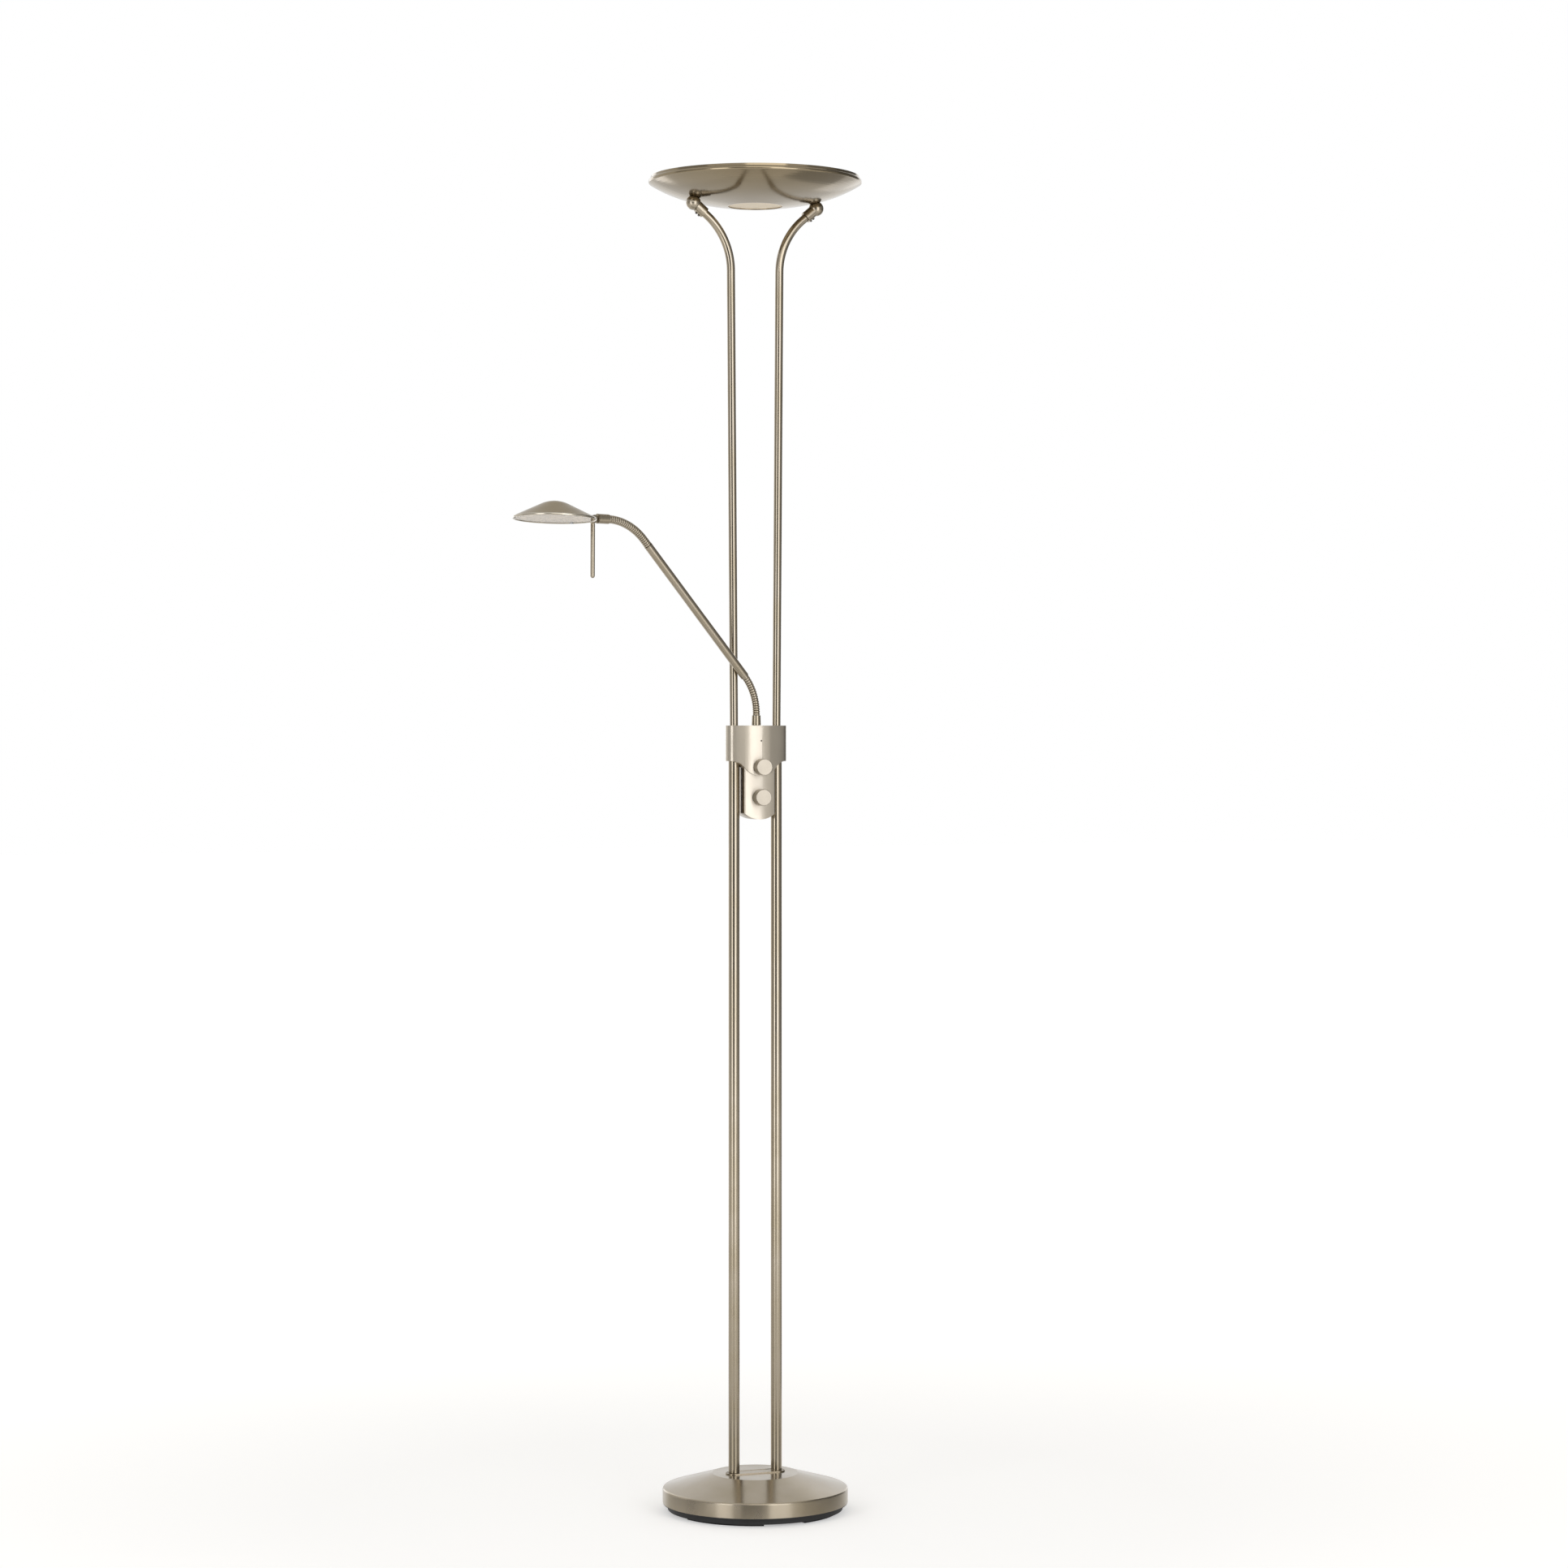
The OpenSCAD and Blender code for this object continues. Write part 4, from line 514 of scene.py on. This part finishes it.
class LAMP_OT_studio(bpy.types.Operator):
    """Sets the camera, the plain pale floor, the white surroundings and the softboxes"""
    bl_idname = "lamp.studio"
    bl_label = "Studio"

    def execute(self, context):
        scene = context.scene
        studio = scene.lamp_studio
        scene.view_settings.view_transform = "Standard"
        self.camera(scene, studio)
        self.surroundings(scene, studio)
        self.floor(studio)
        for name, *places in SOFTBOXES:
            softbox(name, studio, *places)
        for name, *places in CARDS:
            card(name, studio, *places)
        return finished(scene.camera is not None)

    def camera(self, scene, studio):
        """A camera that looks at the lamp, turned a little aside and down."""
        data = bpy.data.cameras.new("camera")
        data.sensor_width = 36
        data.lens = studio.focal
        data.shift_y = -studio.shift
        data.clip_end = 100
        obj = bpy.data.objects.new("camera", data)
        scene.collection.objects.link(obj)
        obj.location = view_direction(studio) * studio.distance + UP * studio.height
        obj.rotation_euler = (math.radians(90) - studio.down, 0, -studio.turn - studio.aside)
        scene.camera = obj

    def surroundings(self, scene, studio):
        """White to the eye, to gloss and through glass, and dimmer as a light."""
        scene.world = bpy.data.worlds.new("surroundings")
        tree = bare_tree(scene.world)
        level = add(tree, "ShaderNodeMapRange", {"Value": backdrop_rays(tree), "To Min": studio.ambient,
                    "To Max": 1.0})
        glow = add(tree, "ShaderNodeBackground", {"Color": (1, 1, 1, 1), "Strength": level})
        add(tree, "ShaderNodeOutputWorld", {"Surface": glow})

    def floor(self, studio):
        """A square floor that keeps the lamp's shadow and whitens with distance."""
        mesh = bmesh.new()
        mesh.faces.new([mesh.verts.new((x * FLOOR_REACH, y * FLOOR_REACH, 0))
                        for x, y in ((-1, -1), (1, -1), (1, 1), (-1, 1))])
        made = bpy.data.materials.new("painted floor")
        tree = bare_tree(made)
        paint = add(tree, "ShaderNodeBsdfDiffuse", {"Color": rgba(studio.floor)})
        point = add(tree, "ShaderNodeTexCoord", output="Object")
        away = add(tree, "ShaderNodeVectorMath", {0: point}, output="Value", operation="LENGTH")
        white = add(tree, "ShaderNodeMapRange", {"Value": away, "From Min": studio.fade_start,
                    "From Max": studio.fade_end, "To Min": studio.floor_near, "To Max": studio.floor_far})
        level = add(tree, "ShaderNodeMath", {0: backdrop_rays(tree), 1: white}, operation="MULTIPLY")
        glow = add(tree, "ShaderNodeEmission", {"Color": (1, 1, 1, 1), "Strength": level})
        both = add(tree, "ShaderNodeAddShader", {0: paint, 1: glow})
        add(tree, "ShaderNodeOutputMaterial", {"Surface": both})
        new_object("floor", mesh, [made])


# ---------- pieces ----------
class LAMP_OT_base(bpy.types.Operator):
    """Finishes the base: spun cover, cast weight, moulded pan, feet, plate and its fixings"""
    bl_idname = "lamp.base"
    bl_label = "Base"

    def execute(self, context):
        finish = context.scene.lamp_finish
        # Spun steel with nickel plate: upright streaks of light on the brushed band, and a smoother slope that
        # mirrors the tubes.
        points = [v.co for v in NODES["base_cover"].data.vertices]
        reach = max(math.hypot(p.x, p.y) for p in points)
        shoulder = max(p.z for p in points if math.hypot(p.x, p.y) > reach - 0.3 * MM)
        finish_nodes(nickel("spun satin nickel", "disc", 0.28, stretch=0.97, strength=0.12,
                            above=(shoulder, 0.2, 0.7)), "base_cover")
        # Stamped steel with nickel plate: short straight grain.
        finish_nodes(nickel("stamped satin nickel", "line", 0.26, axis=(1, 0, 0)), "pole_plate")
        # Grey cast iron, sand cast: dull, dark and grainy.
        finish_nodes(mottled("sand-cast iron", linear("3B3B3D"), {"Metallic": 0.7}, 1.2 * MM, 0.68,
                             bump=0.8, depth=0.15 * MM), "base_weight")
        # Black ABS, injection moulded with a fine spark finish: soft wide highlights.
        finish_nodes(mottled("moulded black ABS", finish.pan, {"IOR": 1.53}, 0.6 * MM, 0.6,
                             bump=0.5, depth=0.03 * MM), "base_underside")
        # Rubber, moulded: matt, with almost no highlight.
        finish_nodes(mottled("moulded rubber", finish.rubber, {"IOR": 1.52}, 0.5 * MM, 0.8,
                             bump=0.4, depth=0.03 * MM), "base_feet", "cord_grommet")
        finish_nodes(zinc_steel(), "base_nipples", "nipple_nuts", "underside_screws")
        return finished()


class LAMP_OT_poles(bpy.types.Operator):
    """Finishes the four pole tubes, the joiners and the two bent arms"""
    bl_idname = "lamp.poles"
    bl_label = "Poles and bent arms"

    def execute(self, context):
        # Drawn steel tube, polished round its axis and nickel plated: sharp upright streaks of light.
        for kind, rough in (("lower_pole", 0.15), ("upper_pole", 0.15), ("bent_arm", 0.16)):
            for name in (kind + "_left", kind + "_right"):
                centre = middle(name)
                finish_nodes(nickel("polished satin nickel, " + name.replace("_", " "), "ring", rough,
                                    centre=(centre.x, centre.y, 0), strength=0.12, stretch=0.3), name)
        finish_nodes(zinc_steel(), "pole_joiners")
        return finished()


def softened(name, made, edge):
    """A copy of a CAD node with smooth walls and slightly rounded edges, as casting and plating leave them."""
    mesh = bmesh.new()
    mesh.from_mesh(NODES[name].data)
    bmesh.ops.remove_doubles(mesh, verts=mesh.verts, dist=0.005 * MM)
    bmesh.ops.dissolve_limit(mesh, angle_limit=math.radians(1), verts=mesh.verts, edges=mesh.edges)
    obj = piece(name + "_plated", mesh, "stand", made)
    for kind, values in (("BEVEL", {"width": edge, "segments": 2, "limit_method": "ANGLE",
                         "angle_limit": math.radians(35), "use_clamp_overlap": True, "harden_normals": False}),
                         ("WEIGHTED_NORMAL", {"keep_sharp": True, "weight": 80})):
        added = obj.modifiers.new(kind.lower(), kind)
        for key, value in values.items():
            setattr(added, key, value)
    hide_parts(name)


class LAMP_OT_control_box(bpy.types.Operator):
    """Finishes the housing, the dimmer block, what is inside them, and the arm's bushing"""
    bl_idname = "lamp.control_box"
    bl_label = "Control box"

    def execute(self, context):
        # Die-cast zinc, brushed across its height and nickel plated: light spreads up and down into soft
        # upright bands.
        # Its lighter tone, the cast colour, is painted light.
        cast = nickel("brushed satin nickel on die-cast zinc", "ring", 0.32, stretch=0.95, strength=0.12,
                      tone=context.scene.lamp_finish.cast)
        for name in ("front_housing", "rear_housing", "switch_block", "block_cover"):
            softened(name, cast, context.scene.lamp_sizes.cast_edge)
        finish_nodes(zinc_steel(), "housing_screws", "dimmer_nuts", "dimmers", "swivel_bushing", "upper_shaft",
                     "lower_shaft")
        finish_nodes(circuit_board("glass-epoxy board, green mask", "1E5B38", "2E7A4C"), "driver_board")
        return finished()


class LAMP_OT_knobs(bpy.types.Operator):
    """Finishes the two dimmer knobs"""
    bl_idname = "lamp.knobs"
    bl_label = "Dimmer knobs"

    def execute(self, context):
        # Turned aluminium with nickel plate: fine circles on the face and a pale, even gloss.
        for name in ("upper_knob", "lower_knob"):
            finish_nodes(nickel("turned nickel, " + name.replace("_", " "), "disc", 0.34, axis=(0, 1, 0),
                                centre=middle(name), tone=context.scene.lamp_finish.knob, stretch=0.3), name)
        return finished()


class LAMP_OT_pivots(bpy.types.Operator):
    """Finishes the two tilt pivots under the bowl"""
    bl_idname = "lamp.pivots"
    bl_label = "Bowl pivots"

    def execute(self, context):
        # Turned and tumbled steel balls with nickel plate: a small bright highlight on a soft body.
        ball = nickel("tumbled satin nickel", "ring", 0.25, axis=(1, 0, 0), strength=0.3, stretch=0.2)
        finish_nodes(ball, "knuckle_left", "knuckle_right", "ball_caps", "pivot_ears")
        # Black-oxide steel: the grub screws read as small dark dots.
        finish_nodes(mottled("black-oxide steel", linear("4A453D"), {"Metallic": 1.0}, 0.4 * MM, 0.4),
                     "grub_screws")
        finish_nodes(zinc_steel(), "cross_bracket")
        return finished()


def emitters(name, body, board_at, facing, rings, first, radius):
    """Phosphor domes on the emitters of a board, in rings of (radius in mm, how many). The first of each ring
    is a share of their spacing on, and each dome is turned by facing where it stands."""
    mesh = bmesh.new()
    for ring, count in rings:
        for k in range(count):
            turn = 2 * math.pi * (k + first) / count
            spot = Matrix.Translation((ring * MM * math.cos(turn), ring * MM * math.sin(turn), 0))
            dome(mesh, board_at @ spot @ facing, radius, bpy.context.scene.lamp_sizes.emitter_rise)
    piece(name, mesh, body, phosphor())


class LAMP_OT_bowl(bpy.types.Operator):
    """Finishes the bowl, its glass and its lights, and adds the emitters' domes"""
    bl_idname = "lamp.bowl"
    bl_label = "Bowl"

    def execute(self, context):
        finish = context.scene.lamp_finish
        # Spun steel with nickel plate: circular grain that throws soft rays from the middle.
        # Its darker, browner tone, the bowl colour, is painted shade.
        finish_nodes(nickel("spun satin nickel, bowl", "disc", 0.15, strength=0.15, stretch=0.3,
                            tone=finish.bowl), "bowl_shell")
        # Soda-lime glass, acid etched on its inner side: pale, even and slightly warm.
        finish_nodes(mottled("acid-etched glass", finish.glass, {"IOR": 1.52}, 0.4 * MM, 0.38, second=0.97,
                             bump=0.15), "bottom_glass")
        # Opal acrylic, cast: milky, with a smooth skin.
        finish_nodes(mottled("opal acrylic", finish.opal, {"IOR": 1.49, "Subsurface Weight": 0.4,
                             "Subsurface Scale": 0.004}, 0.6 * MM, 0.3, second=0.97, bump=0.1), "top_diffuser")
        # Rolled aluminium sheet: pale, with a straight mill grain.
        finish_nodes(nickel("rolled aluminium sheet", "line", 0.34, axis=(1, 0, 0), tone=linear("C9CACA")),
                     "heat_plate")
        finish_nodes(circuit_board("aluminium-core board, white mask", "ECEAE3", "E0DED6"), "bowl_led_board")
        finish_nodes(zinc_steel(), "glass_retainer", "plate_standoffs")
        board_at = Matrix.Translation((0, 0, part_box("bowl_led_board")[1].z))
        emitters("bowl_phosphor_domes", "bowl", board_at, Matrix.Identity(4), BOWL_EMITTER_RINGS, 0.5,
                 context.scene.lamp_sizes.bowl_emitter)
        return finished("bowl_phosphor_domes" in bpy.data.objects)


def bend_path(pins, side, first_tangent=None):
    """(function that gives the point and tangent at a length past the first pin, length from pin to pin), on the
    circle through the pins. It starts one link before the first pin, and below that the path is straight."""
    chords = [b - a for a, b in zip(pins, pins[1:])]
    if first_tangent is None:
        before, after, turns = chords[0], chords[1], 1
    else:
        # From the straight part to the first chord the path turns by a link and a half.
        before, after, turns = first_tangent, chords[0], 1.5
    turn = after.angle(before) / turns
    if before.cross(after).dot(side) < 0:
        side = -side
    radius = chords[0].length / (2 * math.sin(turn / 2))
    ahead = (Matrix.Rotation(-turn / 2, 3, side) @ chords[0]).normalized()
    centre = pins[0] + side.cross(ahead) * radius
    link = radius * turn

    def at(length):
        swing = Matrix.Rotation(max(length, -link) / radius, 3, side)
        return centre + swing @ (pins[0] - centre) + min(length + link, 0) * (swing @ ahead), swing @ ahead

    return at, link


def ribbed_hose(name, path, start, end, reach, pitch, across, materials):
    """A length of flexible neck with rounded ribs and narrow grooves. The second material, a painted shade,
    darkens the grooves and the bore.
    """
    ribs = max(1, round((end - start) / pitch))
    rib = (end - start) / ribs
    # Rows deeper than 0.5 mm lie on the groove's floor, where the groove shade is painted.
    rows = [(start + (k + share) * rib, reach - depth * MM, depth > 0.5)
            for k in range(ribs) for share, depth in RIB]
    rows.append((end, reach - RIB[0][1] * MM, True))
    # The bore runs back from the end to the start.
    rows += [(length, 0.6 * reach, True)
             for length in (end, (2 * end + start) / 3, (end + 2 * start) / 3, start)]
    mesh = bmesh.new()
    steps = 40
    rings = []
    for length, radius, _ in rows:
        centre, ahead = path(length)
        x = across.normalized()
        y = ahead.cross(x).normalized()
        rings.append([mesh.verts.new(centre + radius * (c * x + s * y)) for c, s in circle(steps)])
    for k, first in enumerate(rings):
        following = (k + 1) % len(rings)
        second = rings[following]
        for i in range(steps):
            j = (i + 1) % steps
            face = mesh.faces.new((first[i], first[j], second[j], second[i]))
            # Faces between two groove rows take the second material, the painted groove shade.
            face.material_index = 1 if rows[k][2] and rows[following][2] else 0
    bmesh.ops.recalc_face_normals(mesh, faces=mesh.faces)
    return new_object(name, mesh, materials, smooth=True)


class LAMP_OT_reading_arm(bpy.types.Operator):
    """Finishes the collar, both flexible necks and the tube of the reading arm"""
    bl_idname = "lamp.reading_arm"
    bl_label = "Reading arm"

    def execute(self, context):
        sizes = context.scene.lamp_sizes
        low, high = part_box("arm_tube")
        lie = (Vector((low.x, low.y, high.z)) - Vector((high.x, high.y, low.z))).normalized()
        # Drawn and turned steel with nickel plate: soft streaks of light along each tube.
        finish_nodes(nickel("polished satin nickel, arm tube", "ring", 0.22, axis=lie,
                            centre=middle("arm_tube")), "arm_tube")
        collar = middle("arm_collar")
        finish_nodes(nickel("turned satin nickel, collar", "ring", 0.22, centre=(collar.x, collar.y, 0)),
                     "arm_collar")
        # Wound steel strip with nickel plate: a bright line on each rounded rib. The thin dark grooves are
        # painted shade.
        wound = (nickel("wound satin nickel strip", "ring", 0.2, stretch=0.0, strength=0.3),
                 # Painted shade: dark steel on the groove faces, where shade falls between the ribs.
                 mottled("painted groove shade on steel", linear("3E382F"), {"Metallic": 1.0}, 0.4 * MM, 0.5))
        self.neck("lower", 2, UP, LOWER_NECK_FOOT, sizes.lower_neck, sizes.lower_pitch,
                  ("arm_base", "lower_link", "arm"),
                  (("lower_flex_1",), ("lower_flex_2", "lower_flex_3")), wound)
        self.neck("upper", 3, None, UPPER_NECK_FOOT, sizes.upper_neck, sizes.upper_pitch,
                  ("arm", "upper_link_2", "upper_link_3", "neck"),
                  (("upper_flex_1",), ("upper_flex_2",), ("upper_flex_3", "upper_flex_4")), wound)
        neck = joint("head_roll")
        finish_nodes(nickel("turned satin nickel, neck", "ring", 0.24, axis=Vector(neck["axis"]),
                            centre=Vector(neck["pos_m"])), "neck_tube", "neck_swivel")
        return finished("upper_neck_hose_3" in bpy.data.objects)

    def neck(self, label, bends, first_tangent, foot, reach, pitch, bodies, nodes, materials):
        """One flexible neck, in lengths that meet halfway between its pivots, each built curved along the arc
        over one of them.
        """
        pins = [Vector(joint(f"{label}_bend_{k + 1}")["pos_m"]) for k in range(bends)]
        side = Vector(joint("lower_bend_1")["axis"]).normalized()
        path, link = bend_path(pins, side, first_tangent)
        ends = [-link - foot, *((k + 0.5) * link for k in range(bends - 1)), bends * link + NECK_TAIL]
        for k, (start, end) in enumerate(zip(ends, ends[1:])):
            obj = ribbed_hose(f"{label}_neck_hose_{k + 1}", path, start, end, reach, pitch, side, materials)
            low, high = (path((k + share) * link)[0] for share in (-BLEND_SHARE, BLEND_SHARE))
            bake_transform(obj)
            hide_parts(*nodes[k])


class LAMP_OT_head(bpy.types.Operator):
    """Finishes the reading head, and adds its emitters' domes and its rim's bead"""
    bl_idname = "lamp.head"
    bl_label = "Reading head"

    def execute(self, context):
        finish = context.scene.lamp_finish
        at = head_frame()
        # Spun steel dome with nickel plate: a soft, wide sheen that runs round the head.
        # Its darker olive tone, the dome colour, is painted shade.
        finish_nodes(nickel("spun satin nickel, head", "disc", 0.3, axis=at.col[2].xyz, centre=at.translation,
                            strength=0.25, tone=finish.dome), "head_shell")
        # Stamped fork and polished handle rod, nickel plated: straight grain, and a bright line along the rod.
        finish_nodes(nickel("stamped satin nickel, fork", "line", 0.24, axis=at.col[0].xyz), "head_fork")
        finish_nodes(nickel("polished satin nickel, handle", "ring", 0.2, centre=middle("handle_rod")),
                     "handle_rod")
        # Pressed aluminium, chromed: a mirror with a shallow hammered pattern.
        finish_nodes(mottled("hammered chrome plate", linear("B3A99A"), {"Metallic": 1.0}, 1.4 * MM, 0.13,
                             second=0.35, bump=0.15, depth=0.05 * MM), "head_reflector")
        # Acrylic, moulded and coated against glare: clear, with a faint haze and hardly any mirror at a low
        # angle.
        finish_nodes(mottled("moulded clear acrylic, coated", finish.lens,
                             {"IOR": 1.12, "Transmission Weight": 1.0}, 3 * MM, 0.06, second=0.98), "head_lens")
        finish_nodes(zinc_steel(), "lens_clips")
        finish_nodes(circuit_board("aluminium-core board, white mask, head", "ECEAE3", "E0DED6"),
                     "head_led_board")
        lowest = min((at.inverted() @ v.co).z for v in NODES["head_led_board"].data.vertices)
        board_at = at @ Matrix.Translation((0, 0, lowest))
        emitters("head_phosphor_domes", "head", board_at, Matrix.Rotation(math.pi, 4, "X"), HEAD_EMITTER_RINGS,
                 0, context.scene.lamp_sizes.head_emitter)
        self.rim_bead(finish, at)
        return finished("head_phosphor_domes" in bpy.data.objects and "head_rim_bead" in bpy.data.objects)

    def rim_bead(self, finish, at):
        """A polished bead, as a rolled edge leaves it, round the dome's rim and just outside the lens."""
        inverse = at.inverted()
        points = [inverse @ v.co for v in NODES["head_shell"].data.vertices]
        widest = max(points, key=lambda p: math.hypot(p.x, p.y))
        reach = math.hypot(widest.x, widest.y)
        low = min(p.z for p in points)
        rim = (widest.z - low) / MM
        # Closed outline in mm, out from the shell's widest line and up from its lowest edge: from beside the
        # lens, out round the shell's rounded rim, and back in above its widest line.
        outline = ((-1.5, 0.05), (-1.3, -0.3), (-0.9, -0.4), (-0.45, -0.3), (0.0, rim - 0.6), (0.02, rim),
                   (0.0, rim + 0.5), (-0.35, rim + 1.15), (-1.0, rim + 1.7), (-1.5, rim + 1.5), (-1.9, 0.6))
        mesh = bmesh.new()
        turned(mesh, [(reach + out * MM, low + rise * MM) for out, rise in outline], at, 160)
        # Chromed steel, polished: a mirror with hardly any grain.
        chrome = mottled("polished chrome", finish.chrome, {"Metallic": 1.0}, 0.6 * MM, 0.16, second=0.95)
        piece("head_rim_bead", mesh, "head", chrome)


OPERATORS = (LAMP_OT_studio, LAMP_OT_base, LAMP_OT_poles, LAMP_OT_control_box, LAMP_OT_knobs, LAMP_OT_pivots,
             LAMP_OT_bowl, LAMP_OT_reading_arm, LAMP_OT_head)


class LAMP_PT_panel(bpy.types.Panel):
    """Lists the lamp's finishes, sizes, stage and pieces"""
    bl_label = "Torchiere lamp"
    bl_idname = "LAMP_PT_panel"
    bl_space_type = "VIEW_3D"
    bl_region_type = "UI"
    bl_category = "Lamp"

    def draw(self, context):
        """Draws a box for each group of properties, and a button for each operator."""
        scene = context.scene
        for group in (scene.lamp_finish, scene.lamp_sizes, scene.lamp_studio):
            box = self.layout.box()
            for name in group.__annotations__:
                box.prop(group, name)
        for operator in OPERATORS:
            self.layout.operator(operator.bl_idname)


CLASSES = (LampFinish, LampSizes, LampStudio, *OPERATORS, LAMP_PT_panel)


def register():
    """Registers the classes, and gives the scene the groups of properties."""
    for made in CLASSES:
        bpy.utils.register_class(made)
    bpy.types.Scene.lamp_finish = PointerProperty(type=LampFinish)
    bpy.types.Scene.lamp_sizes = PointerProperty(type=LampSizes)
    bpy.types.Scene.lamp_studio = PointerProperty(type=LampStudio)


def unregister():
    """Takes back what register does."""
    del bpy.types.Scene.lamp_finish
    del bpy.types.Scene.lamp_sizes
    del bpy.types.Scene.lamp_studio
    for made in reversed(CLASSES):
        bpy.utils.unregister_class(made)


def main():
    """Registers the classes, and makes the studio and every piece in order."""
    register()
    for operator in OPERATORS:
        group, name = operator.bl_idname.split(".")
        getattr(getattr(bpy.ops, group), name)()


if __name__ == "__main__":
    main()
